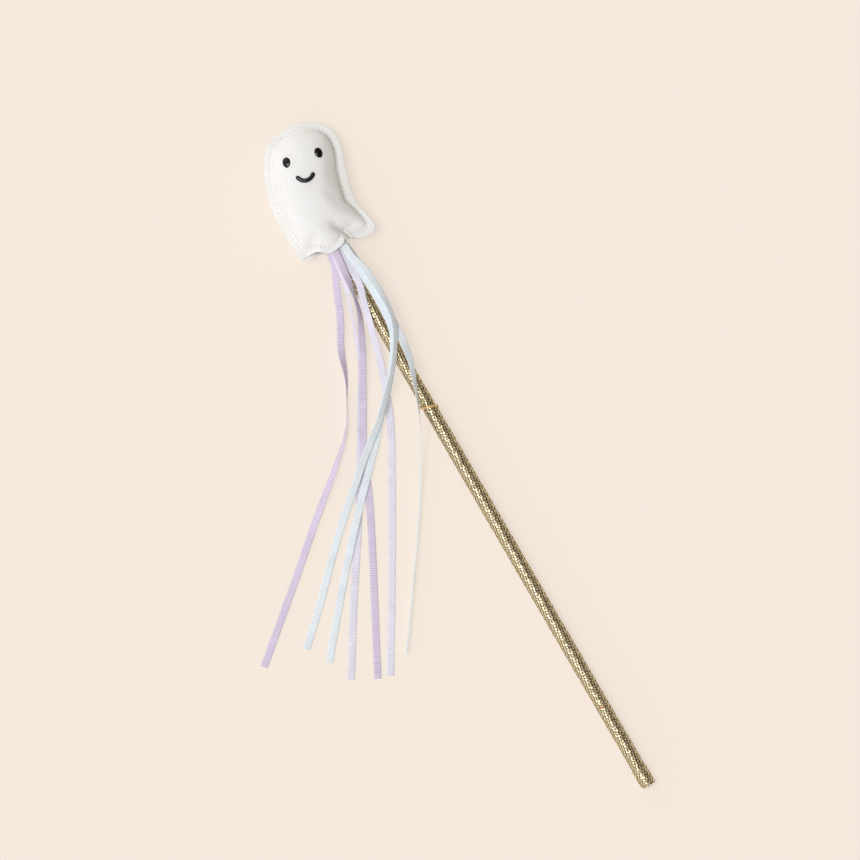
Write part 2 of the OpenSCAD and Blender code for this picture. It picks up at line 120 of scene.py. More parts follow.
# Coated card: matt and even, with fibres that barely show. It glows only where it is seen, not as a lamp.
fibre = add(tree, "ShaderNodeTexNoise", {"Vector": place, "Scale": 0.9 / mm, "Detail": 2.0})
tone = add(tree, "ShaderNodeMix", {0: fibre, 6: "#F6EADE", 7: "#F7EBDF"}, data_type="RGBA")
card = add(tree, "ShaderNodeBsdfPrincipled", {
    "Base Color": tone, "Roughness": 0.9, "Specular IOR Level": 0.1})
glow = add(tree, "ShaderNodeEmission", {"Color": tone, "Strength": 1.0})
ray = add(tree, "ShaderNodeLightPath").outputs
seen = add(tree, "ShaderNodeMath", {0: ray["Is Camera Ray"], 1: ray["Is Glossy Ray"]}, operation="ADD")
seen = add(tree, "ShaderNodeMath", {0: seen, 1: ray["Is Transmission Ray"]}, operation="ADD", use_clamp=True)
share = add(tree, "ShaderNodeMath", {0: seen, 1: 0.72}, operation="MULTIPLY")
lit = add(tree, "ShaderNodeMixShader", {0: share, 1: card, 2: glow})
add(tree, "ShaderNodeOutputMaterial", {"Surface": lit})

reach = 3
corners = [(-reach, -reach, 0), (reach, -reach, 0), (reach, reach, 0), (-reach, reach, 0)]
mesh = bpy.data.meshes.new("floor")
mesh.from_pydata(corners, [], [range(4)])
mesh.materials.append(floor_card)
floor = bpy.data.objects.new("floor", mesh)
floor.location.z = -0.1 * mm
scene.collection.objects.link(floor)
print("floor in m:", 2 * reach)

# %% Lamp and studio
lamp_far = 3.0
lamp = bpy.data.lights.new("soft lamp", "AREA")
lamp.shape, lamp.size, lamp.energy = "DISK", 1.5, 43.5
soft_lamp = bpy.data.objects.new("soft lamp", lamp)
towards_lamp = Vector((-0.21, 0.2, 0.96)).normalized()
soft_lamp.location = Vector((0, 0.02, 0)) + towards_lamp * lamp_far
soft_lamp.rotation_euler = towards_lamp.to_track_quat("Z", "Y").to_euler()
scene.collection.objects.link(soft_lamp)

studio = bpy.data.worlds.new("studio")
studio.use_nodes = True
tree = studio.node_tree
tree.nodes.clear()
way = add(tree, "ShaderNodeSeparateXYZ", {0: add(tree, "ShaderNodeTexCoord").outputs["Generated"]}).outputs
side = add(tree, "ShaderNodeMapRange", {0: way[0], 1: -0.7, 2: 0.4, 3: 0.76, 4: 0.16})
warm = add(tree, "ShaderNodeMapRange", {0: way[0], 1: -0.3, 2: 0.7})
tint = add(tree, "ShaderNodeMix", {0: warm, 6: (1, 1, 1, 1), 7: (1.0, 0.9, 0.78, 1)}, data_type="RGBA")
far = add(tree, "ShaderNodeMath", {0: way[1]}, operation="ABSOLUTE")
ends = add(tree, "ShaderNodeMapRange", {0: far, 1: 0.6, 2: 0.95, 3: 0.0, 4: 1.0})
power = add(tree, "ShaderNodeMath", {0: side, 1: ends}, operation="ADD")
walls = add(tree, "ShaderNodeBackground", {"Color": tint, "Strength": power})
add(tree, "ShaderNodeOutputWorld", {"Surface": walls})
scene.world = studio
print("lamp in W:", lamp.energy)

# %% [markdown]
# Each ribbon is a flat cord: it leaves the hem, falls off the pile and lies along the table. Its route is
# a list of given points, as in the construction, each with the roll that turns the ribbon on its
# edge or over. Four ribbons roll further here than the construction's stiff strips do. A smooth curve
# runs through the points and a strip is laid along it.

# %% Ribbon routes in mm from the hem: across, along, height, roll in degrees
routes = {
    "lilac_left": [
        (-3.5, 0.6, 10.6, 0), (-4.6, -5.5, 9.9, -5), (-7.5, -11.5, 8.4, -10), (-13, -24, 5.4, 0),
        (-19, -35, 3.4, 20), (-23, -46, 2.2, 66), (-28, -55, 1.7, 90), (-34, -64.5, 1.6, 108),
        (-44.5, -74.5, 1.25, 136), (-62, -89, 0.75, 160), (-81, -105.5, 0.4, 174),
        (-109.5, -129.5, 0.25, 180)],
    "lilac_middle": [
        (-1.2, 0.6, 11.6, 0), (-2, -7, 11.7, 6), (-2.8, -14, 11.5, 40), (-3.8, -20, 10.6, 62),
        (-5.5, -26.5, 8.8, 48), (-8, -32, 7.1, 28), (-11.5, -39, 5, 10), (-16, -47, 2.9, 4),
        (-22.5, -58.5, 1.5, 0), (-31.5, -74.5, 1, 0), (-43, -100, 0.5, 0), (-72.5, -156.5, 0.4, 6)],
    "pale_left": [
        (-1.9, 0.6, 11.1, 0), (-2.9, -7, 10.8, -18), (-5.2, -16, 9, -50), (-7.4, -22.5, 7.3, -62),
        (-11.5, -34, 4.3, -60), (-13.6, -40.9, 2.6, -36), (-16.9, -47.6, 1.5, -14),
        (-21.4, -55.1, 0.8, -6), (-30.1, -69.5, 0.25, 0), (-44.5, -93.3, 0.25, 0), (-65, -124.5, 0.25, 0),
        (-82, -151.5, 0.25, 0)],
    "pale_right": [
        (0.9, 0.6, 10.6, 0), (0.9, -6.5, 10.6, 0), (0.5, -16, 10.5, -5), (-1.3, -22, 10.2, -10),
        (-2.8, -28, 9.6, -18), (-4.3, -34, 8.3, -22), (-7, -44.5, 5.6, -15), (-9.7, -52.5, 3.7, -8),
        (-15, -66.5, 1.3, 0), (-22.5, -81.5, 0.35, 0), (-46.5, -123, 0.25, 0),
        (-67.5, -158, 0.25, 0)],
    "blue_upper": [
        (3.1, 0.6, 11.6, 0), (3.4, -5, 12, 0), (5.4, -13, 12.2, 8), (6.2, -24, 12.3, 34),
        (5.5, -34, 12.7, 50), (2.4, -41.5, 12.7, 54), (-1.5, -47.5, 12.3, 52), (-5.7, -53, 11.0, 50),
        (-12.7, -60, 8.3, 48), (-20.3, -67.5, 5.5, 38), (-31.2, -76, 3.2, 18), (-44.5, -87.5, 1.7, 4),
        (-58, -99.5, 0.9, 0), (-78.5, -120, 0.4, 0), (-91.5, -132, 0.25, 0)],
    "blue_lower": [
        (2.6, 0.6, 11.1, 0), (3, -6, 11.3, 0), (3.8, -16, 11.3, 0), (3.9, -27, 11.1, 3),
        (3.1, -37, 11, 6), (0.5, -43.5, 10.9, 12), (-3.5, -49.5, 10, 16), (-8, -55, 8.1, 16),
        (-13, -60.5, 6, 13), (-19, -66.5, 3.8, 9), (-27, -75.5, 1.9, 4), (-41, -90, 1.3, 0),
        (-55.5, -105.5, 0.9, 0), (-70, -122, 0.4, 0), (-86, -141, 0.25, 0)],
    "blue_right": [
        (3.4, 0.6, 9.95, 0), (4.2, -8, 10, 3), (4.8, -20, 10, 4), (4.8, -32, 10, 4),
        (4.4, -41, 10, 8), (3.1, -51.5, 10.6, 34), (0.5, -59.5, 10.95, 54), (-2.9, -68.5, 10.85, 76),
        (-7.3, -78.5, 7.6, 94), (-13.3, -89, 4.8, 99), (-20.5, -100.5, 2.5, 101),
        (-32.5, -118.5, 1.7, 99), (-57.5, -153.5, 1.65, 99)],
}
lead = next(j for j in frame["joints"] if j["name"] == "fan_lilac_left")
hem = np.array(lead["pos_m"]) / mm - np.array(routes["lilac_left"][0][:3])
print("hem point in mm:", np.round(hem, 3))

# %% Smooth lines through points
def between(a, b, c, d, t):
    return (2 * b + (c - a) * t + (2 * a - 5 * b + 4 * c - d) * t ** 2 + (3 * b - a - 3 * c + d) * t ** 3) / 2


def run_of(points):
    return np.concatenate([[0], np.cumsum(np.linalg.norm(np.diff(points, axis=0), axis=1))])


def at_run(points, run, at):
    return np.stack([np.interp(at, run, points[:, i]) for i in range(points.shape[1])], axis=1)


def smooth_route(points, step):
    p = np.array(points, float)
    p = np.vstack([2 * p[0] - p[1], p, 2 * p[-1] - p[-2]])
    t = np.linspace(0, 1, 60, endpoint=False)[:, None]
    fine = [between(*four, t) for four in zip(p[:-3], p[1:-2], p[2:-1], p[3:])]
    fine = np.vstack(fine + [p[-2:-1]])
    run = run_of(fine[:, :3])
    at = np.linspace(0, run[-1], max(2, round(run[-1] / step) + 1))
    return at_run(fine, run, at), at


def unit(v):
    return v / np.linalg.norm(v, axis=-1, keepdims=True)


print("points chosen by hand:", sum(len(route) for route in routes.values()))

# %% Meshes from rings of points
def ring_faces(rows, sides, round_again=False):
    i, j = np.meshgrid(np.arange(rows if round_again else rows - 1), np.arange(sides), indexing="ij")
    k, n = (i + 1) % rows, (j + 1) % sides
    corners = (i * sides + j, i * sides + n, k * sides + n, k * sides + j)
    return np.stack(corners, axis=-1).reshape(-1, 4).tolist()


def tube_faces(rows, sides):
    return ring_faces(rows, sides) + [list(range(sides))[::-1], list(range((rows - 1) * sides, rows * sides))]


def new_piece(name, points, faces, material):
    mesh = bpy.data.meshes.new(name)
    mesh.from_pydata(np.asarray(points).tolist(), [], faces)
    mesh.polygons.foreach_set("use_smooth", np.ones(len(mesh.polygons), bool))
    mesh.materials.append(material)
    mesh.update()
    made = bpy.data.objects.new(name, mesh)
    scene.collection.objects.link(made)
    return made


def keep(made, **numbers):
    for name, values in numbers.items():
        values = np.asarray(values, np.float32)
        kind, field = ("FLOAT", "value") if values.ndim == 1 else ("FLOAT_VECTOR", "vector")
        made.data.attributes.new(name, kind, "POINT").data.foreach_set(field, values.ravel())


print("faces of a tube with 4 rings of 8:", len(tube_faces(4, 8)))

# %% Strips along the routes
ribbon_width, ribbon_thick = 3.0, 0.3
rib_spacing, rib_height, rib_fade = 0.93, 0.075, 0.3
row_step = rib_spacing / 6
selvage_w, selvage_h = 0.08, 0.1
w, h = ribbon_width / 2, ribbon_thick / 2
upper_half = np.array([(-w, 0), (selvage_w - w, selvage_h), (-1.0, h), (-0.5, h), (0, h), (0.5, h), (1.0, h),
                       (w - selvage_w, selvage_h)])
ribbon_section = np.vstack([upper_half, -upper_half])
rib_weight = np.clip((w - abs(ribbon_section[:, 0])) / rib_fade, 0.25, 1)


def strip(name, route, material):
    line, along = smooth_route(route, row_step)
    line, roll = line[:, :3], np.radians(line[:, 3:])
    forward = unit(np.gradient(line, axis=0))
    level = unit(np.cross(forward, (0, 0, 1)))
    across = level * np.cos(roll) + np.cross(level, forward) * np.sin(roll)
    up = np.cross(across, forward)
    section = ribbon_section[None]
    points = line[:, None] + across[:, None] * section[..., :1] + up[:, None] * section[..., 1:]
    rows, sides = points.shape[:2]
    made = new_piece(name, (points.reshape(-1, 3) + hem) * mm, tube_faces(rows, sides), material)
    keep(made, along=np.repeat(along, sides) * mm, rib=np.tile(rib_weight, rows))
    return made, (line + hem) * mm


print("points round a ribbon:", len(ribbon_section))

# %% [markdown]
# Grosgrain is a plain weave with thick weft cords, and these cords make its cross ribs, a little under
# a millimetre apart. The ribs could be a bump in the shader. As geometry they also show on the edge
# and where the ribbon twists. A Geometry Nodes tree moves each point along its normal by a wave that
# follows the length kept on the strip.

# %% Geometry Nodes: a tree with named inputs, and a way to run it
def new_tree(name, **inputs):
    tree = bpy.data.node_groups.new(name, "GeometryNodeTree")
    for label, kind in {"Geometry": "Geometry", **inputs, "Material": "Material"}.items():
        tree.interface.new_socket(label, in_out="INPUT", socket_type="NodeSocket" + kind)
    tree.interface.new_socket("Geometry", in_out="OUTPUT", socket_type="NodeSocketGeometry")
    return tree, tree.nodes.new("NodeGroupInput").outputs


def end_tree(tree, shape, material):
    whole = add(tree, "GeometryNodeRealizeInstances", {0: shape})
    dressed = add(tree, "GeometryNodeSetMaterial", {"Geometry": whole, "Material": material})
    add(tree, "NodeGroupOutput", {0: dressed})
    print("tree:", tree.name, len(tree.nodes), "nodes")


def plain_mesh(made):
    ready = bpy.context.evaluated_depsgraph_get()
    mesh = bpy.data.meshes.new_from_object(
        made.evaluated_get(ready), preserve_all_data_layers=True, depsgraph=ready)
    made.modifiers.clear()
    old, made.data = made.data, mesh
    bpy.data.meshes.remove(old)
    mesh.name = made.name
    mesh.polygons.foreach_set("use_smooth", np.ones(len(mesh.polygons), bool))
    return made


def run_tree(tree, made, **values):
    nodes = made.modifiers.new("nodes", "NODES")
    nodes.node_group = tree
    for socket in tree.interface.items_tree:
        if socket.in_out == "INPUT" and socket.name in values:
            nodes[socket.identifier] = values[socket.name]
    return plain_mesh(made)


grosgrain_ribs, given = new_tree("grosgrain ribs", Spacing="Float", Height="Float")
tree = grosgrain_ribs
rise = add(tree, "GeometryNodeInputNamedAttribute", {"Name": "along"}, data_type="FLOAT")
weight = add(tree, "GeometryNodeInputNamedAttribute", {"Name": "rib"}, data_type="FLOAT")
sums = (("DIVIDE", given["Spacing"]), ("MULTIPLY", math.pi), ("COSINE", 0.0), ("ABSOLUTE", 0.0),
        ("SUBTRACT", 0.6), ("MULTIPLY", given["Height"]), ("MULTIPLY", weight))
for operation, other in sums:
    rise = add(tree, "ShaderNodeMath", {0: rise, 1: other}, operation=operation)
normal = add(tree, "GeometryNodeInputNormal")
push = add(tree, "ShaderNodeVectorMath", {0: normal, "Scale": rise}, operation="SCALE")
ribbed = add(tree, "GeometryNodeSetPosition", {"Geometry": given["Geometry"], "Offset": push})
end_tree(tree, ribbed, given["Material"])

# %% [markdown]
# The ribbon is dyed polyester with a satin sheen: the dye colour on the crowns of the ribs and painted shade
# in the grooves between them. Three dye lots are used, a lilac, a pale lilac and a pale blue. Every finish
# in this scene ends alike, with a fine relief and one Principled shader, so one function closes them all.

# %% Polyester grosgrain
def close_finish(tree, colour, grain, strength, depth, look):
    relief = add(tree, "ShaderNodeBump", {"Height": grain, "Strength": strength, "Distance": depth * mm})
    skin = add(tree, "ShaderNodeBsdfPrincipled", {"Base Color": colour, "Normal": relief, **look})
    add(tree, "ShaderNodeOutputMaterial", {"Surface": skin})


def polyester_grosgrain(name, crown, groove):
    # Woven from shiny filament: soft sheen, painted shade in the grooves between the cords, faint uneven dye.
    material, tree, place = new_material(name)
    along = add(tree, "ShaderNodeAttribute", attribute_name="along").outputs["Fac"]
    angle = add(tree, "ShaderNodeMath", {0: along, 1: math.pi / (rib_spacing * mm)}, operation="MULTIPLY")
    wave = add(tree, "ShaderNodeMath", {0: angle}, operation="COSINE")
    crest = add(tree, "ShaderNodeMath", {0: wave}, operation="ABSOLUTE")
    share = add(tree, "ShaderNodeMapRange", {0: crest, 1: 0.15, 2: 0.75})
    # Painted shade: the groove colour darkens the ribbon between the rib crowns.
    colour = add(tree, "ShaderNodeMix", {0: share, 6: groove, 7: crown}, data_type="RGBA")
    dye = add(tree, "ShaderNodeTexNoise", {"Vector": place, "Scale": 1 / (6 * mm), "Detail": 3.0})
    uneven = add(tree, "ShaderNodeMapRange", {0: dye, 1: 0.3, 2: 0.7, 3: 0.93, 4: 1.04})
    colour = add(tree, "ShaderNodeMix", {0: 1.0, 6: colour, 7: uneven},
                 data_type="RGBA", blend_type="MULTIPLY")
    threads = add(tree, "ShaderNodeTexNoise", {"Vector": place, "Scale": 1 / (0.12 * mm), "Detail": 2.0})
    close_finish(tree, colour, threads, 0.25, 0.05, {
        "Roughness": 0.55, "Sheen Weight": 0.25, "Sheen Roughness": 0.4, "Specular IOR Level": 0.35})
    return material


# The second colour of each dye lot is painted shade for the grooves.
dyes = {"lilac": polyester_grosgrain("polyester grosgrain lilac", "#DDD2E6", "#C4B3D2"),
        "pale": polyester_grosgrain("polyester grosgrain pale lilac", "#E9E6F2", "#D5CFE4"),
        "blue": polyester_grosgrain("polyester grosgrain pale blue", "#EAF1F6", "#D2DEE6")}
print("dye lots:", [m.name for m in dyes.values()])

# %% [markdown]
# A finished piece is handed to the frame in two words: the body that it rides on and the node that it
# replaces, which is hidden. A ribbon's length is worked out along its path and printed.

# %% Seven ribbons
def hand_over(piece, node, body="wand"):
    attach(piece, body)
    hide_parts(node)
    print(piece.name, "replaces", node, "with", len(piece.data.polygons), "faces")


def grosgrain(name, route, dye):
    ribbon, line = strip(name, route, dyes[dye])
    run_tree(grosgrain_ribs, ribbon, Spacing=rib_spacing * mm, Height=rib_height * mm, Material=dyes[dye])
    return ribbon, line


for body, route in routes.items():
    dye = body.split("_")[0]
    ribbon, line = grosgrain("streamer_" + body, route, dye)
    length = float(run_of(line)[-1])
    hand_over(ribbon, "ribbon_" + body, body)
    print(ribbon.name, "is", round(length / mm, 1), "mm long")

# %% [markdown]
# The head is two felt panels cut to one outline, sewn together a little inside the edge and stuffed. The
# panel is built as rings that run from the cut edge over the seam to the middle of the swell. The rings
# are close together at the seam, where the felt turns, and lose the outline's corners on the way in, so
# that no corner leaves a crease on the face.

# %% Head outline, in shares of the head's width and height
head_w, head_h, head_turn = 34.0, 53.0, math.radians(-13)
seam_z, seam_gap, felt_thick = 7.4, 0.02, 0.9
margin_w, swell_start_w = 2.2, 0.7
front_swell, back_swell = 9.0, 7.0
outline = np.array([
    (-0.106, 0.994), (0.02, 0.996), (0.126, 0.983), (0.238, 0.953), (0.326, 0.9), (0.379, 0.828),
    (0.397, 0.738), (0.382, 0.65), (0.356, 0.455), (0.371, 0.311), (0.435, 0.213), (0.509, 0.098),
    (0.464, 0.052), (0.35, 0.031), (0.238, 0.04), (0.124, 0.062), (0.09, 0.036), (0.012, 0.0075),
    (-0.1, -0.011), (-0.176, 0.011), (-0.27, 0.026), (-0.441, 0.009), (-0.485, 0.074), (-0.556, 0.24),
    (-0.606, 0.45), (-0.582, 0.657), (-0.535, 0.768), (-0.465, 0.875), (-0.391, 0.925), (-0.259, 0.966)])


def turned(p, angle):
    c, s = math.cos(angle), math.sin(angle)
    return np.stack([p[..., 0] * c - p[..., 1] * s, p[..., 0] * s + p[..., 1] * c], axis=-1)


def on_head(shares):
    return turned(np.asarray(shares, float) * (head_w, head_h), head_turn)


def round_curve(values, steps, axis):
    # A smooth closed curve through the values along one axis, with steps places from each to the next.
    t = np.linspace(0, 1, steps, endpoint=False).reshape([-1] + [1] * (values.ndim - 1 - axis))
    four = (np.expand_dims(np.roll(values, k, axis), axis + 1) for k in (1, 0, -1, -2))
    return between(*four, t).reshape(*values.shape[:axis], -1, *values.shape[axis + 1:])


def eased(v):
    t = np.clip(v, 0, 1)
    return t * t * (3 - 2 * t)


edge_shares = round_curve(outline, 20, 0)
edge = on_head(edge_shares)
spokes = len(edge)
print("spokes:", spokes, "head in mm:", np.round(edge.max(0) - edge.min(0), 1))

# %% Seam and swell lines inside the outline
def smoothed(values, spread):
    near = np.arange(-3 * spread, 3 * spread + 1)
    weight = np.exp(-(near / spread) ** 2)
    return sum(w * np.roll(values, k, axis=0) for k, w in zip(near, weight / weight.sum()))


net_step = 6
swell_inset = margin_w + swell_start_w
swell_middle = on_head((-0.088, 0.453))
to_middle = unit(swell_middle - edge)
forward = unit(np.roll(edge, -1, axis=0) - np.roll(edge, 1, axis=0))
slant = np.maximum(0.75, forward[:, 1] * to_middle[:, 0] - forward[:, 0] * to_middle[:, 1])
# The right margin is a millimetre wider.
right_side = eased((edge_shares[:, 0] - 0.13) / 0.15) * (1 - eased((edge_shares[:, 1] - 0.84) / 0.14))
to_swell = np.linalg.norm(swell_middle - edge, axis=1) - (swell_inset + right_side) / slant
to_swell = smoothed(np.minimum(to_swell, smoothed(to_swell, 14)), 5)
swell_line = round_curve((swell_middle - to_middle * to_swell[:, None])[::net_step], net_step, 0)


def inset(width):
    return edge + (swell_line - edge) * (width / swell_inset)


stitch_line = inset(margin_w)
print("seam in mm:", np.round(stitch_line.max(0) - stitch_line.min(0), 1))

# %% Rings of one panel, seen from above
rims = np.array([0, 0.1, 0.35, 0.7, 1.1, 1.5, 1.75, 1.95, 2.2, 2.45, 2.65, 2.9])
shares = np.cos(np.linspace(0, math.pi / 2, 40))[1:-1]
oval = smoothed(swell_line, 45)


def ring_at(share):
    soft = eased((1 - share) / 0.4)
    return swell_middle + (swell_line * (1 - soft) + oval * soft - swell_middle) * share


plan = np.stack([inset(w) for w in rims] + [ring_at(k) for k in shares])
on_swell = len(rims) - 1
print("rings:", plan.shape[0], "points on one face:", plan.shape[0] * spokes)

# %% [markdown]
# The filling blows the felt up like a cushion. The form of an evenly blown skin is the solution of a
# simple equation: the curvature is the same everywhere and the height at the seam is known. It is solved
# here on a coarse net of the panel with finite elements. A second solution carries the arch of the hem,
# where the felt bridges the stick and the ribbons, smoothly into the face.

# %% The net of finite elements
def fan(first, count, tip):
    j = np.arange(count)
    return np.stack([first + j, first + (j + 1) % count, np.full(count, tip)], axis=1).tolist()


net = plan[on_swell:, ::net_step]
net_rings, net_spokes = net.shape[:2]
net_points = np.vstack([net.reshape(-1, 2), swell_middle[None]])
quads = np.array(ring_faces(net_rings, net_spokes))
tip = fan((net_rings - 1) * net_spokes, net_spokes, len(net_points) - 1)
triangles = np.vstack([quads[:, [0, 1, 2]], quads[:, [0, 2, 3]], tip])
stiff = np.zeros((len(net_points), len(net_points)))
load = np.zeros(len(net_points))
corner = net_points[triangles]
u, v = corner[:, 1] - corner[:, 0], corner[:, 2] - corner[:, 0]
area = abs(u[:, 0] * v[:, 1] - u[:, 1] * v[:, 0]) / 2
for a in range(3):
    b, c = (a + 1) % 3, (a + 2) % 3
    u, v = corner[:, b] - corner[:, a], corner[:, c] - corner[:, a]
    cot = (u * v).sum(1) / np.maximum(2 * area, 1e-9) / 2
    for m, n, sign in ((b, b, 1), (c, c, 1), (b, c, -1), (c, b, -1)):
        np.add.at(stiff, (triangles[:, m], triangles[:, n]), sign * cot)
    np.add.at(load, triangles[:, a], area / 3)
print("net points:", len(net_points), "triangles:", len(triangles))

# %% The blown form of the panels
def solved(edge_height, weight):
    rim, inside = np.arange(net_spokes), np.arange(net_spokes, len(net_points))
    pull = weight * load[inside] - stiff[np.ix_(inside, rim)] @ edge_height
    return np.concatenate([edge_height, np.linalg.solve(stiff[np.ix_(inside, inside)], pull)])


def on_rings(values):
    coarse = values[:-1].reshape(net_rings, net_spokes)
    return np.maximum(round_curve(coarse, net_step, 1), 0), values[-1]


def arch(p, height, left, right, right_fall):
    across = np.where(p[..., 0] > 0, (p[..., 0] - right) / right_fall, (-p[..., 0] - left) / 5)
    return height * (1 - eased(across)) * (1 - eased((p[..., 1] / head_h - 0.15) / 0.23))


# Height of each arch, how far it stays level to the left and the right, and its fall to the right.
front_arch, back_arch = (4.7, 5.4, 4.4, 3.2), (3.1, 3.0, 3.0, 5.0)
right_foot = eased((net_points[:, 0] - 3) / 7) * (1 - eased((net_points[:, 1] - 4) / 8))
right_flank = eased((net_points[:, 0] - 1) / 7)
taper = 0.42 - 0.08 * right_flank + 0.3 * right_foot
blown = solved(np.zeros(net_spokes), 1.0)
blown = np.maximum(blown / blown.max(), 0) ** taper
print("mean share of the full height:", round(float(blown.mean()), 2))

# %% [markdown]
# Where stiff felt has too much length it folds: a sharp pleat at the right of the arch, a hollow over the
# right foot and a soft fold over the left foot. The folds are written as valleys along lines on the panel.

# %% Heights of the felt over and under the seam
# Each fold in mm: from, to, widths and depths at the two ends.
fold_lines = {
    "pleat": ((7.0, 2.4), (4.0, 9.0), (1.1, 1.7), (2.4, 2.4)),
    "right hollow": ((10.4, 4.0), (6.8, 7.8), (2.5, 2.6), (2.0, 1.7)),
    "left fold": ((-11.2, 5.6), (-2.4, 10.2), (2.1, 2.1), (1.1, 0.2)),
}
seam_fade = np.array([1.0, 0.75, 0.5, 0.25])[:, None]
felt_face = seam_gap + felt_thick
table_gap = 0.05


def valley(p, a, b, widths, depths):
    a, b = np.array(a, float), np.array(b, float)
    near = np.clip(((p - a) @ (b - a)) / ((b - a) @ (b - a)), 0, 1)
    off = np.linalg.norm(p - (a + near[..., None] * (b - a)), axis=-1)
    return np.exp(-(off / np.interp(near, (0, 1), widths)) ** 2) * np.interp(near, (0, 1), depths)


def panel_heights(swell_height, bridge):
    puff, puff_top = on_rings(blown)
    span, span_top = on_rings(solved(arch(net[0], *bridge), 0.0))
    span[:4] += seam_fade * (arch(plan[on_swell], *bridge) - span[0])
    over = np.sqrt((swell_height * puff) ** 2 + span ** 2)
    over_margin = np.repeat(over[:1], on_swell, axis=0)
    return np.vstack([over_margin, over]), math.hypot(swell_height * puff_top, span_top)


front_rise, front_top = panel_heights(front_swell, front_arch)
front_rise -= sum(valley(plan, *fold) for fold in fold_lines.values()) * eased(front_rise / 3.5)
front_z = seam_z + felt_face + front_rise
front_top += seam_z + felt_face
back_fall, back_low = panel_heights(back_swell, back_arch)
back_z = np.maximum(0, seam_z - felt_face - back_fall)
back_low = max(table_gap, seam_z - felt_face - back_low)
print("front peak in mm:", round(float(front_z.max()), 2), "back lowest:", round(float(back_z.min()), 2))

# %% [markdown]
# Sewing and stuffing leave small puckers that no formula gives. They come from Blender's cloth: the front
# panel is meshed evenly, pinned along the seam, allowed to grow a little and blown up from below. Its
# movement is capped and added to the form. The work is done twenty times larger, where the cloth solver's
# usual values are steady.

# %% Heights read from the skin
ray_start = 60


def skin_of(heights, top, shift):
    rings = np.concatenate([plan + shift[..., :2], heights[..., None]], axis=-1)[on_swell:]
    last = (len(rings) - 1) * spokes
    points = np.vstack([rings.reshape(-1, 3), [[*swell_middle, top]]])
    faces = ring_faces(len(rings), spokes) + fan(last, spokes, last + spokes)
    return BVHTree.FromPolygons(points.tolist(), faces)


def height_on(skin, p, side):
    hits = [skin.ray_cast((x, y, ray_start * side), (0, 0, -side))[0] for x, y in p.reshape(-1, 2)]
    return np.array([seam_z + felt_face * side if h is None else h.z for h in hits]).reshape(p.shape[:-1])


def felt_at(p):
    return height_on(front_skin, p, 1)


def tree_of(points):
    tree = kdtree.KDTree(len(points))
    for i, p in enumerate(points):
        tree.insert((p[0], p[1], 0), i)
    tree.balance()
    return tree


def smooth_between(points, values, places, reach):
    tree = tree_of(points)
    found = np.zeros((len(places), values.shape[1]))
    for n, p in enumerate(places):
        near = tree.find_range((p[0], p[1], 0), reach)
        w = np.array([(1 - (d / reach) ** 2) ** 2 for _, _, d in near])
        found[n] = w @ values[[i for _, i, _ in near]] / w.sum()
    return found


pucker = np.zeros(plan.shape[:2] + (3,))
front_skin = skin_of(front_z, front_top, pucker)
print("felt over the middle in mm:", round(float(felt_at(swell_middle + 0.1)), 2))

# %% Pressed white felt
white_felt, tree, place = new_material("pressed white felt")
# Matted fibres give a soft grain about half a millimetre across, no gloss, a faint sheen, and painted
# shade that greys the needle holes.
fibres = add(tree, "ShaderNodeTexNoise", {
    "Vector": place, "Scale": 1 / (0.6 * mm), "Detail": 5.0, "Roughness": 0.65})
clouds = add(tree, "ShaderNodeTexNoise", {"Vector": place, "Scale": 1 / (8 * mm), "Detail": 3.0})
grain = add(tree, "ShaderNodeMapRange", {0: fibres, 1: 0.3, 2: 0.7})
colour = add(tree, "ShaderNodeMix", {0: grain, 6: "#E8E7E6", 7: "#F4F4F4"}, data_type="RGBA")
soil = add(tree, "ShaderNodeMapRange", {0: clouds, 1: 0.4, 2: 0.75, 3: 0.0, 4: 0.3})
colour = add(tree, "ShaderNodeMix", {0: soil, 6: colour, 7: "#E9E4DA"}, data_type="RGBA")
# Painted shade darkens the felt in the needle holes.
hole = add(tree, "ShaderNodeAttribute", attribute_name="pit").outputs["Fac"]
painted_hole_shade = add(tree, "ShaderNodeMath", {0: hole, 1: 0.5}, operation="MULTIPLY")
colour = add(tree, "ShaderNodeMix", {0: painted_hole_shade, 6: colour, 7: "#C3BAAE"}, data_type="RGBA")
close_finish(tree, colour, fibres, 0.4, 0.12, {
    "Roughness": 0.92, "Specular IOR Level": 0.2, "Sheen Weight": 0.2, "Sheen Roughness": 0.5})
print("felt nodes:", len(tree.nodes))

# %% An even net for the cloth
off_rim, at_rim = 0.8, 0.05


def even_net(rim, spacing):
    # Rows of points over the head in mm, every second row shifted, cut to triangles inside the rim.
    from_rim = tree_of(rim)
    x, y = np.meshgrid(np.arange(-22, 24, spacing), np.arange(-4, 58, spacing * 0.866))
    x[1::2] += spacing / 2
    grid = [p for p in zip(x.ravel(), y.ravel())
            if front_skin.ray_cast((*p, ray_start), (0, 0, -1))[0] and from_rim.find((*p, 0))[2] > off_rim]
    ring = [(i, (i + 1) % len(rim)) for i in range(len(rim))]
    cut = geometry.delaunay_2d_cdt([Vector(p) for p in (*rim, *grid)], ring, [], 1, 1e-4)
    flat = np.array([tuple(p) for p in cut[0]])
    on_rim = [i for i, p in enumerate(flat) if from_rim.find((*p, 0))[2] < at_rim]
    return flat, on_rim, [list(f) for f in cut[2]]


net_size = 1.15
print("spacing of the cloth's points in mm:", net_size)

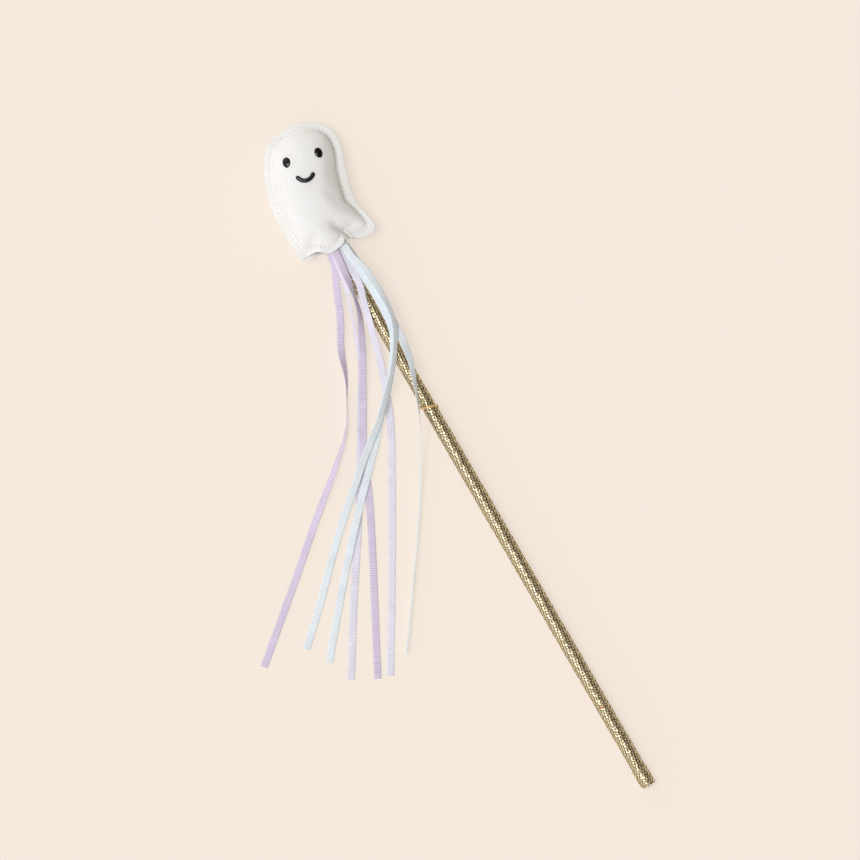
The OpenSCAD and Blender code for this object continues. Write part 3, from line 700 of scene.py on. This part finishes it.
# %% Cloth puckers
def cloth_puckers(growth, cap):
    flat, on_rim, faces = even_net(swell_line[::5], net_size)
    start = np.column_stack([flat, felt_at(flat)])
    start[on_rim, 2] = smooth_between(swell_line, front_z[on_swell][:, None], flat[on_rim], 1.0)[:, 0]
    large, frames = 20 * mm, 30
    made = new_piece("sewn_panel", start * large, faces, white_felt)
    made.vertex_groups.new(name="seam").add(on_rim, 1.0, "REPLACE")
    cloth = made.modifiers.new("cloth", "CLOTH")
    felt = cloth.settings
    felt.quality, felt.mass = 8, 0.3
    felt.tension_stiffness = felt.compression_stiffness = 25
    felt.shear_stiffness, felt.bending_stiffness = 10, 8
    felt.vertex_group_mass, felt.shrink_min = "seam", -growth
    felt.use_pressure, felt.uniform_pressure_force = True, 1.5
    felt.effector_weights.gravity = 0
    cloth.point_cache.frame_end = frames
    for n in range(1, frames + 1):
        scene.frame_set(n)
    ready = made.evaluated_get(bpy.context.evaluated_depsgraph_get())
    moved = np.zeros(start.size, np.float32)
    ready.data.vertices.foreach_get("co", moved)
    moved = moved.reshape(-1, 3) / large - start
    scene.frame_set(1)
    bpy.data.objects.remove(made)
    size = np.linalg.norm(moved, axis=1, keepdims=True)
    print("cloth points:", len(flat), "largest move in mm:", round(float(size.max()), 2))
    return flat, moved * np.minimum(1, cap / np.maximum(size, 1e-6))


pucker_reach = 2.6
sewn, moved = cloth_puckers(0.025, 0.9)
away = smooth_between(sewn, moved, plan[on_swell:].reshape(-1, 2), pucker_reach).reshape(-1, spokes, 3)
away[:4] *= 1 - seam_fade[..., None]
pucker[on_swell:] = away
front_z = front_z + pucker[..., 2]
front_top += smooth_between(sewn, moved, swell_middle[None], pucker_reach)[0, 2]
front_skin = skin_of(front_z, front_top, pucker)
print("largest pucker in mm:", round(float(abs(pucker).max()), 2))

# %% [markdown]
# The seam is a row of small stitches 2 mm apart. Each one pulls the felt down where the needle went
# through, and these needle holes are the grey dots along the margin, greyed with painted shade. Their places
# are worked out before the panels, so that the felt is dented there and the thread dips into the dents.

# %% Needle holes along the seam
stitch_pitch, hole_r, groove_r = 2.0, 0.36, 0.55


def even_places(line, pitch, shift):
    closed = np.vstack([line, line[:1]])
    run = run_of(closed[:, :2])
    count = round(run[-1] / pitch)
    return at_run(closed, run, ((np.arange(count) + shift) * run[-1] / count) % run[-1])


holes = even_places(stitch_line, stitch_pitch, 0.5)
band = plan[:on_swell + 4].reshape(-1, 2)
off_hole = np.min([np.linalg.norm(band - h, axis=1) for h in holes], axis=0).reshape(-1, spokes)
# The needle-hole mask both dents the felt and greys it with painted shade.
pit = np.zeros(plan.shape[:2])
pit[:on_swell + 4] = np.exp(-(off_hole / hole_r) ** 2)
off_seam = np.concatenate([abs(rims - margin_w), swell_inset + (1 - shares) * 14])
groove = np.exp(-(off_seam / groove_r) ** 2)[:, None]
print("needle holes:", len(holes))

# %% [markdown]
# The front panel's hem is lifted by the arch and so draws back a little. The back panel lies flat, and its
# edge shows below the front between the left foot and the arch.

# %% Felt panels
rough = np.random.default_rng(9)
wobble = np.tile(rough.normal(0, 1, spokes), 3)
cut_wobble = np.convolve(wobble, np.ones(5) / 5, "same")[spokes:2 * spokes] * 0.1
left_hem = np.exp(-((edge_shares[:, 0] + 0.31) / 0.085) ** 2) * (edge_shares[:, 1] < 0.12)
near_edge = np.concatenate([1 - rims / swell_inset, np.zeros(len(shares))])[:, None]
round_off = np.concatenate([(0.22, 0.06), np.zeros(len(plan) - 2)])[:, None]
groove_deep, hole_deep = 0.16, 0.2


def flipped(faces):
    return [face[:1] + face[:0:-1] for face in faces]


def felt_panel(name, high, top, facing, hem_shift, shift):
    low = high - facing * felt_thick + facing * round_off
    high = high - facing * (round_off + groove_deep * groove + hole_deep * pit)
    high, low = np.maximum(high, table_gap), np.maximum(low, table_gap + (0 if facing > 0 else 0.3))
    wide = plan + shift[..., :2]
    wide[:2] -= to_middle[None] * cut_wobble[None, :, None]
    wide = wide + to_middle[None] * (near_edge * left_hem[None] * hem_shift)[..., None]
    outer = np.concatenate([wide, high[..., None]], axis=-1)
    inner = np.concatenate([wide, low[..., None]], axis=-1)
    middle = [[*swell_middle, top - facing * felt_thick], [*swell_middle, top]]
    points = np.vstack([inner[::-1].reshape(-1, 3), outer.reshape(-1, 3), middle])
    rows = 2 * len(plan)
    n, last = rows * spokes, (rows - 1) * spokes
    faces = flipped(ring_faces(rows, spokes)) + fan(0, spokes, n) + flipped(fan(last, spokes, n + 1))
    made = new_piece(name, (points + hem) * mm, faces if facing > 0 else flipped(faces), white_felt)
    keep(made, pit=np.concatenate([0 * pit.ravel(), pit.ravel(), (0, 0)]))
    return made


front = felt_panel("felt_front", front_z, front_top, 1, 0.25, pucker)
back = felt_panel("felt_back", back_z, back_low, -1, -1.9, 0 * pucker)
for panel, node in ((front, "head_front"), (back, "head_back")):
    hand_over(panel, node)

# %% [markdown]
# Eyes and mouth are raised drops of glossy black fabric paint. Each drop follows the felt under it and
# swells above it, with an edge that dips into the felt so that no gap shows.

# %% Eyes
black_paint, tree, place = new_material("glossy black fabric paint")
# Thick water-based paint that dries to a rubbery gloss, with slow dents from drying.
sag = add(tree, "ShaderNodeTexNoise", {"Vector": place, "Scale": 1 / (1.3 * mm), "Detail": 1.0})
tint = add(tree, "ShaderNodeMix", {0: sag, 6: "#050406", 7: "#0E0B10"}, data_type="RGBA")
close_finish(tree, tint, sag, 0.5, 0.35, {
    "Roughness": 0.16, "IOR": 1.4, "Coat Weight": 0.15, "Coat Roughness": 0.08})
face_x, eye_apart, eye_y = -0.080, 0.197, 0.737
eye_w, eye_rise, eye_dip = 3.15, 0.7, 0.25


def round_angles(count):
    return np.linspace(0, 2 * math.pi, count, endpoint=False)


def paint_drop(name, shares, width, height, turn, rise):
    middle = on_head(shares)
    rings = np.append(np.sin(np.linspace(0, math.pi / 2, 12))[1:], 1.03)
    a = round_angles(48)
    oval = np.stack([np.cos(a) * width / 2 * (1 + 0.07 * np.sin(a)), np.sin(a) * height / 2], axis=-1)
    p = middle + rings[:, None, None] * turned(oval, head_turn + turn)[None]
    up = rise * np.sqrt(np.maximum(0, 1 - rings ** 2.6))
    up[-1] = -eye_dip
    points = np.concatenate([p, (felt_at(p) + up[:, None])[..., None]], axis=-1).reshape(-1, 3)
    felt = felt_at(middle[None])[0]
    n, sides, last = len(points), len(a), len(points) - len(a)
    points = np.vstack([points, [*middle, felt + rise], [*middle, felt - 0.3]])
    faces = flipped(ring_faces(len(rings), sides)) + fan(0, sides, n) + flipped(fan(last, sides, n + 1))
    return new_piece(name, (points + hem) * mm, faces, black_paint)


for side, sign, height, turn in (("left", -1, 4.2, -10), ("right", 1, 4.25, 7)):
    where = (face_x + sign * eye_apart, eye_y)
    eye = paint_drop("paint_eye_" + side, where, eye_w, height, math.radians(turn), eye_rise)
    hand_over(eye, "eye_" + side)

# %% Mouth
mouth_w, mouth_sag, mouth_stroke, mouth_turn = 6.8, 2.65, 1.78, math.radians(-4)
mouth_rise, mouth_dip, mouth_rows, mouth_sides = 0.8, 0.3, 61, 20
radius = (mouth_w ** 2 / 4 + mouth_sag ** 2) / (2 * mouth_sag)
a = math.asin(mouth_w / 2 / radius) * np.linspace(-1, 1, mouth_rows)
arc = np.stack([radius * np.sin(a), radius - mouth_sag / 2 - radius * np.cos(a)], axis=-1)
arc = on_head((-0.111, 0.588)) + turned(arc, head_turn + mouth_turn)
run = run_of(arc)
end = np.minimum(run, run[-1] - run) / (mouth_stroke / 2)
full = np.sqrt(np.clip(1 - (1 - np.minimum(end, 1)) ** 2, 0.0004, 1))
ahead = unit(np.gradient(arc, axis=0))
sideways = np.stack([-ahead[:, 1], ahead[:, 0]], axis=-1)
b = round_angles(mouth_sides)
p = arc[:, None] + sideways[:, None] * (np.cos(b)[None, :, None] * (full * mouth_stroke / 2)[:, None, None])
up = np.where(np.sin(b) > 0, mouth_rise, mouth_dip) * np.sin(b)
points = np.concatenate([p, (felt_at(p) + up[None] * full[:, None])[..., None]], axis=-1).reshape(-1, 3)
faces = tube_faces(mouth_rows, mouth_sides)
mouth = new_piece("paint_mouth", (points + hem) * mm, faces, black_paint)
hand_over(mouth, "mouth")
print("mouth stroke:", round(float(run[-1]), 2), "mm long")

# %% [markdown]
# The thread shows as short lengths between the needle holes, white on white. One bent thread is made in
# the tree, and a copy stands on each place of the seam, turned along it.

# %% Geometry Nodes: running stitches
running_stitches, given = new_tree("running stitches", Length="Float", Thread="Float")
tree = running_stitches
lie = add(tree, "GeometryNodeInputNamedAttribute", {"Name": "lie"}, data_type="FLOAT_VECTOR")
ahead, behind = (
    add(tree, "ShaderNodeMath", {0: given["Length"], 1: k}, operation="MULTIPLY") for k in (0.5, -0.5))
low, high, thread_r = (
    add(tree, "ShaderNodeMath", {0: given["Thread"], 1: k}, operation="MULTIPLY") for k in (-0.9, 1.1, 0.5))
bow = add(tree, "GeometryNodeCurveQuadraticBezier", {
    "Resolution": 8, "Start": add(tree, "ShaderNodeCombineXYZ", {0: behind, 2: low}),
    "Middle": add(tree, "ShaderNodeCombineXYZ", {2: high}),
    "End": add(tree, "ShaderNodeCombineXYZ", {0: ahead, 2: low})})
round_thread = add(tree, "GeometryNodeCurvePrimitiveCircle", {"Resolution": 7, "Radius": thread_r})
stitch = add(tree, "GeometryNodeCurveToMesh", {
    "Curve": bow, "Profile Curve": round_thread, "Fill Caps": True})
up = add(tree, "ShaderNodeCombineXYZ", {2: 1.0})
face_up = add(tree, "FunctionNodeAlignRotationToVector", {"Vector": up}, axis="Z")
turn = add(tree, "FunctionNodeAlignRotationToVector", {"Rotation": face_up, "Vector": lie},
           axis="X", pivot_axis="AUTO")
row = add(tree, "GeometryNodeInstanceOnPoints", {
    "Points": given["Geometry"], "Instance": stitch, "Rotation": turn})
end_tree(tree, row, given["Material"])

# %% Front and back stitches
white_thread, tree, place = new_material("white sewing thread")
# Spun polyester thread: two plies twisted together, matt, a little warmer than the felt.
wave = add(tree, "ShaderNodeTexWave", {
    "Vector": place, "Scale": 1 / (1.2 * mm), "Distortion": 3.0, "Detail": 1.0}, bands_direction="DIAGONAL")
plies = wave.outputs[1]
tint = add(tree, "ShaderNodeMix", {0: plies, 6: "#E4E0D9", 7: "#F2F0EB"}, data_type="RGBA")
close_finish(tree, tint, plies, 0.4, 0.06, {"Roughness": 0.7, "Sheen Weight": 0.2})
stitch_len, thread_d, stitch_sink = 1.5, 0.34, 0.26


def stitch_row(name, heights, sink):
    line = np.column_stack([stitch_line, heights[list(rims).index(margin_w)]])
    middle, ahead, behind = (even_places(line, stitch_pitch, s) for s in (0, 0.25, -0.25))
    lie = ahead - behind
    level = abs(lie[:, 2]) < 0.3 * np.linalg.norm(lie, axis=1)
    middle, lie = middle[level], lie[level]
    middle[:, 2] += sink
    made = new_piece(name, (middle + hem) * mm, [], white_thread)
    keep(made, lie=lie)
    return run_tree(running_stitches, made, Length=stitch_len * mm, Thread=thread_d * mm,
                    Material=white_thread)


hand_over(stitch_row("thread_front", front_z, -stitch_sink), "front_stitches")
hand_over(stitch_row("thread_back", back_z, stitch_sink), "back_stitches")

# %% [markdown]
# The stick is wound with metallic cord. Each cord is flat and its plies make it rock from side to side, and
# five cords run side by side, so the turns lean a little. One tree makes a helix, sweeps a flattened
# section along it that rocks as the plies do, sets copies round the stick and roughens them. The same
# tree makes the loose copper strand and the thread that ties the ribbons.

# %% Geometry Nodes: wound cord
wound_cord, given = new_tree(
    "wound cord", Turns="Float", StartRadius="Float", EndRadius="Float", Length="Float", Cords="Int",
    Steps="Int", Wide="Float", Thick="Float", PlyLength="Float", Rough="Float", Grain="Float")
tree = wound_cord
helix = add(tree, "GeometryNodeCurveSpiral", {
    "Resolution": given["Steps"], "Rotations": given["Turns"], "Start Radius": given["StartRadius"],
    "End Radius": given["EndRadius"], "Height": given["Length"], "Reverse": False})
length = add(tree, "GeometryNodeSplineParameter").outputs["Length"]
kept = add(tree, "GeometryNodeStoreNamedAttribute", {"Geometry": helix, "Name": "along", "Value": length},
           data_type="FLOAT", domain="POINT")
rock = length
sums = (("DIVIDE", given["PlyLength"]), ("MULTIPLY", 2 * math.pi), ("SINE", 0.0), ("MULTIPLY", 0.45))
for operation, other in sums:
    rock = add(tree, "ShaderNodeMath", {0: rock, 1: other}, operation=operation)
upright = add(tree, "GeometryNodeSetCurveNormal", {"Curve": kept}, mode="Z_UP")
rocking = add(tree, "GeometryNodeSetCurveTilt", {"Curve": upright, "Tilt": rock})
ring = add(tree, "GeometryNodeCurvePrimitiveCircle", {"Resolution": 9, "Radius": 0.5})
flat = add(tree, "ShaderNodeCombineXYZ", {0: given["Thick"], 1: given["Wide"], 2: 1.0})
section = add(tree, "GeometryNodeTransform", {"Geometry": ring, "Scale": flat})
cord = add(tree, "GeometryNodeCurveToMesh", {"Curve": rocking, "Profile Curve": section, "Fill Caps": True})
starts = add(tree, "GeometryNodeMeshLine", {"Count": given["Cords"], "Offset": (0, 0, 0)})
part_turn = add(tree, "ShaderNodeMath", {0: 2 * math.pi, 1: given["Cords"]}, operation="DIVIDE")
number = add(tree, "GeometryNodeInputIndex")
spin = add(tree, "ShaderNodeMath", {0: number, 1: part_turn}, operation="MULTIPLY")
around = add(tree, "ShaderNodeCombineXYZ", {2: spin})
cords = add(tree, "GeometryNodeInstanceOnPoints", {"Points": starts, "Instance": cord, "Rotation": around})
whole = add(tree, "GeometryNodeRealizeInstances", {0: cords})
noise = add(tree, "ShaderNodeTexNoise", {"Scale": given["Grain"], "Detail": 1.0}).outputs["Color"]
swing = add(tree, "ShaderNodeVectorMath", {0: noise, 1: (0.5, 0.5, 0.5)}, operation="SUBTRACT")
swing = add(tree, "ShaderNodeVectorMath", {0: swing, "Scale": given["Rough"]}, operation="SCALE")
loose = add(tree, "GeometryNodeSetPosition", {"Geometry": whole, "Offset": swing})
end_tree(tree, loose, given["Material"])

# %% [markdown]
# The cord's film is metal, so its colour is in its reflections. The plies catch the lamp as white sparks
# on the left, and turn brown where they mirror the dim side of the studio. Fine creases across the film
# break the reflections up.

# %% Gold and copper cord
def metallic_cord(name, bright, ply_shade, spot, ply, metal):
    # Metallised film wound on a core: sharp but broken reflections, and painted shade between the plies.
    material, tree, place = new_material(name)
    crease = add(tree, "ShaderNodeTexNoise", {
        "Vector": place, "Scale": 1 / (0.5 * mm), "Detail": 3.0, "Roughness": 0.7})
    broad = add(tree, "ShaderNodeTexNoise", {"Vector": place, "Scale": 1 / (4 * mm), "Detail": 2.0})
    along = add(tree, "ShaderNodeAttribute", attribute_name="along").outputs["Fac"]
    angle = add(tree, "ShaderNodeMath", {0: along, 1: 4 * math.pi / (ply * mm)}, operation="MULTIPLY")
    plies = add(tree, "ShaderNodeMath", {0: angle}, operation="SINE")
    share = add(tree, "ShaderNodeMapRange", {0: plies, 1: -1.0, 2: 0.1})
    # Painted shade: the ply colour darkens the cord between its plies.
    colour = add(tree, "ShaderNodeMix", {0: share, 6: ply_shade, 7: bright}, data_type="RGBA")
    rare = add(tree, "ShaderNodeMapRange", {0: broad, 1: 0.69, 2: 0.75})
    colour = add(tree, "ShaderNodeMix", {0: rare, 6: colour, 7: spot}, data_type="RGBA")
    polish = add(tree, "ShaderNodeMapRange", {0: crease, 1: 0.3, 2: 0.7, 3: 0.12, 4: 0.32})
    close_finish(tree, colour, crease, 0.5, 0.15, {
        "Metallic": metal, "Roughness": polish, "Specular Tint": "#B9AC8C"})
    return material


gold_ply, copper_ply = 2.1, 1.6
# The second colour of each cord is painted shade between its plies.
gold_cord = metallic_cord("gold metallic cord", "#EFE3C0", "#5F4524", "#C9A27A", gold_ply, 1.0)
copper_cord = metallic_cord("copper metallic cord", "#F7D3A2", "#E9B87F", "#FBE0BE", copper_ply, 0.4)
print("cord finishes:", gold_cord.name, copper_cord.name)

# %% A piece of wound cord, a turned bed under it, and a way to join pieces
stick_fall = math.radians(0.9635)
along_stick = (Matrix.Translation(Vector((hem[0], hem[1], hem[2] + seam_z)) * mm)
               @ Matrix.Rotation(-math.pi / 2 + stick_fall, 4, "X"))
stick_len, join, butt_len, core_d = 248.0, 72.5, 8.0, 3.7


def wound(name, material, turns, radii, cords, steps, grain, **sizes):
    sizes.update(StartRadius=radii[0], EndRadius=radii[1])
    sizes = {label: size * mm for label, size in sizes.items()}
    host = new_piece(name, [(0, 0, 0)], [], material)
    return run_tree(wound_cord, host, Turns=turns, Cords=cords, Steps=steps, Grain=1 / (grain * mm),
                    Material=material, **sizes)


def lathe(name, profile, round_again):
    sides = 40
    points = [(r * math.cos(t), r * math.sin(t), z) for z, r in profile for t in round_angles(sides)]
    faces = ring_faces(len(profile), sides, True) if round_again else tube_faces(len(profile), sides)
    return new_piece(name, np.array(points) * mm, faces, gold_cord)


def join_pieces(first, *others):
    chosen = [first, *others]
    with bpy.context.temp_override(active_object=first, selected_editable_objects=chosen, object=first):
        bpy.ops.object.join()
    return first


print("stick in mm:", stick_len, "join from the hem:", join)

# %% Windings along the stick
lean, cord_wide, cord_thick = 6.2, 1.36, 0.6
cord_deep, bed_deep, join_gap = 0.475, 0.45, 0.3


def winding(name, low, high, outer_d):
    cord_r, bed_r, core_r = outer_d / 2 - cord_deep, outer_d / 2 - bed_deep, core_d / 2
    turns = wound(name, gold_cord, (high - low) / lean, (cord_r, cord_r), cords=5, steps=40, grain=1.2,
                  Length=high - low, Wide=cord_wide, Thick=cord_thick, PlyLength=gold_ply, Rough=0.4)
    turns.data.transform(Matrix.Translation((0, 0, low * mm)))
    bed = lathe(name + "_bed", [(low, core_r), (low, bed_r), (high, bed_r), (high, core_r)], True)
    return join_pieces(turns, bed)


lower = winding("cord_lower", -stick_len + butt_len + 0.05, -join - join_gap, 6.0)
upper = winding("cord_upper", -join + join_gap, 1.0, 5.8)
for piece, node in ((lower, "winding_lower"), (upper, "winding_upper")):
    piece.data.transform(along_stick)
    hand_over(piece, node)

# %% [markdown]
# At the butt the cord is wound once more and turned in over the end of the stick, so that no wood shows.
# The side is a short winding, and a flat spiral of cord closes the end.

# %% Turned-in end
side = winding("cord_end", -stick_len + 1.1, -stick_len + butt_len, 6.5)
cap = wound("cord_end_spiral", gold_cord, 2.6, (2.55, 0.25), cords=1, steps=40, grain=1.4, Length=-0.35,
            Wide=1.2, Thick=0.9, PlyLength=gold_ply, Rough=0.15)
cap.data.transform(Matrix.Translation((0, 0, (-stick_len + 0.85) * mm)))
plug_profile = ((0.45, 0.2), (0.5, 1.2), (0.7, 2.5), (1.15, 2.7))
plug = lathe("cord_end_bed", [(z - stick_len, r) for z, r in plug_profile], False)
butt = join_pieces(side, cap, plug)
butt.data.transform(along_stick)
hand_over(butt, "winding_end")

# %% [markdown]
# Where the two lengths of gold cord meet, a loose copper-coloured strand crosses the stick. It is a little
# more than one turn of the same tree, wound wide of the stick and turned so that it crosses at the front.

# %% Copper strand over the join
strand_len, strand_r, strand_start = 6.25, 3.2, math.radians(135)
strand = wound("copper_strand", copper_cord, 1.25, (strand_r, strand_r), cords=1, steps=72, grain=2.0,
               Length=strand_len, Wide=0.9, Thick=0.65, PlyLength=copper_ply, Rough=0.12)
strand.data.transform(along_stick @ Matrix.Translation((0, 0, (-join - strand_len / 2) * mm))
                      @ Matrix.Rotation(strand_start, 4, "Z"))
hand_over(strand, "splice_strand")

# %% [markdown]
# Inside the head, out of sight, the ribbons' upper ends lie on the stick and a thread holds them. The
# filling is a copy of its solid, made into fine even cells and pulled in by clumps of fibre.

# %% Ribbon roots and tie
# How many ribbons lie under each one.
layers = {"lilac_left": 1, "lilac_middle": 3, "pale_left": 2, "pale_right": 1, "blue_upper": 3,
          "blue_lower": 2, "blue_right": 0}
root_end, layer_step = 13.8, 0.35
bed_top = seam_z + root_end * math.tan(stick_fall) + 1.8 + ribbon_thick
roots = []
for body, layer in layers.items():
    x, _, z, _ = routes[body][0]
    high = bed_top + layer * layer_step
    route = [(x * 0.7, root_end, high, 0), (x * 0.7, 8.2, high, 0), (x * 0.78, 3.6, z - 0.4, 0),
             (x, 0.7, z - 0.31, 0)]
    roots.append(grosgrain("root_" + body, route, body.split("_")[0])[0])
root = join_pieces(*roots)
root.name = "streamer_roots"
hand_over(root, "ribbon_roots")

tie_wide, tie_high = 6.0, 4.2
tie = wound("thread_tie", white_thread, 4.0, (tie_wide, tie_wide), cords=1, steps=48, grain=1.0, Length=4.0,
            Wide=0.55, Thick=0.45, PlyLength=1.5, Rough=0.0)
flattened = Matrix.Diagonal((1, tie_high / tie_wide, 1, 1))
tie.data.transform(along_stick @ Matrix.Translation((0, -0.5 * mm, 9.0 * mm)) @ flattened)
hand_over(tie, "ribbon_tie")

# %% Filling
fibre_fill, tree, place = new_material("polyester fibre fill")
# Crimped fibre in soft clumps: white, matt, with painted shade between the clumps.
clump = add(tree, "ShaderNodeTexNoise", {
    "Vector": place, "Scale": 1 / (1.5 * mm), "Detail": 6.0, "Distortion": 1.5})
tint = add(tree, "ShaderNodeMix", {0: clump, 6: "#D9D6D0", 7: "#FAF9F6"}, data_type="RGBA")
close_finish(tree, tint, clump, 0.8, 0.4, {"Roughness": 0.95, "Sheen Weight": 0.3})

filling = bpy.data.objects.new("fibre_filling", frame["nodes"]["stuffing"].data.copy())
scene.collection.objects.link(filling)
filling.modifiers.new("weld", "WELD").merge_threshold = 0.005 * mm
cells = filling.modifiers.new("cells", "REMESH")
cells.mode, cells.voxel_size = "VOXEL", 0.6 * mm
mesh = plain_mesh(filling).data
mesh.materials.clear()
mesh.materials.append(fibre_fill)
p = np.zeros(len(mesh.vertices) * 3, np.float32)
n = np.zeros_like(p)
mesh.vertices.foreach_get("co", p)
mesh.vertices.foreach_get("normal", n)
p, n = p.reshape(-1, 3), n.reshape(-1, 3)
x, y, z = p.T
lump = np.sin(x / (1.9 * mm) + 1.7 * np.sin(y / (3.1 * mm))) * np.sin(y / (2.3 * mm)) * np.cos(z / (2.7 * mm))
p -= n * (0.25 + 0.25 * lump)[:, None] * mm
p = p / mm - hem
back_skin = skin_of(back_z, back_low, 0 * pucker)
inside_felt = felt_thick + 0.2
high = felt_at(p[:, :2]) - inside_felt
low = height_on(back_skin, p[:, :2], -1) + inside_felt
p[:, 2] = np.clip(p[:, 2], np.minimum(low, (low + high) / 2), np.maximum(high, (low + high) / 2))
mesh.vertices.foreach_set("co", ((p + hem) * mm).astype(np.float32).ravel())
mesh.update()
hand_over(filling, "stuffing")

# %% [markdown]
# The stick itself is a birch dowel. Its solid has the right shape, so it stays and gets a wood finish:
# long pale grain along the stick.

# %% Birch dowel
birch, tree, place = new_material("sanded birch")
# Sanded and unvarnished: pale and matt, with grain half a millimetre wide and drawn out along the stick.
grain_scale = (1 / (0.5 * mm), 1 / (14 * mm), 1 / (0.5 * mm))
stretch = add(tree, "ShaderNodeMapping", {"Vector": place, "Scale": grain_scale})
grain = add(tree, "ShaderNodeTexNoise", {"Vector": stretch, "Scale": 1.0, "Detail": 4.0, "Distortion": 0.4})
tint = add(tree, "ShaderNodeMix", {0: grain, 6: "#C79F6B", 7: "#E9CFA3"}, data_type="RGBA")
close_finish(tree, tint, grain, 0.2, 0.05, {"Roughness": 0.6})
dowel = frame["nodes"]["dowel"]
for slot in dowel.material_slots:
    slot.material = birch
print("dowel slots:", len(dowel.material_slots))
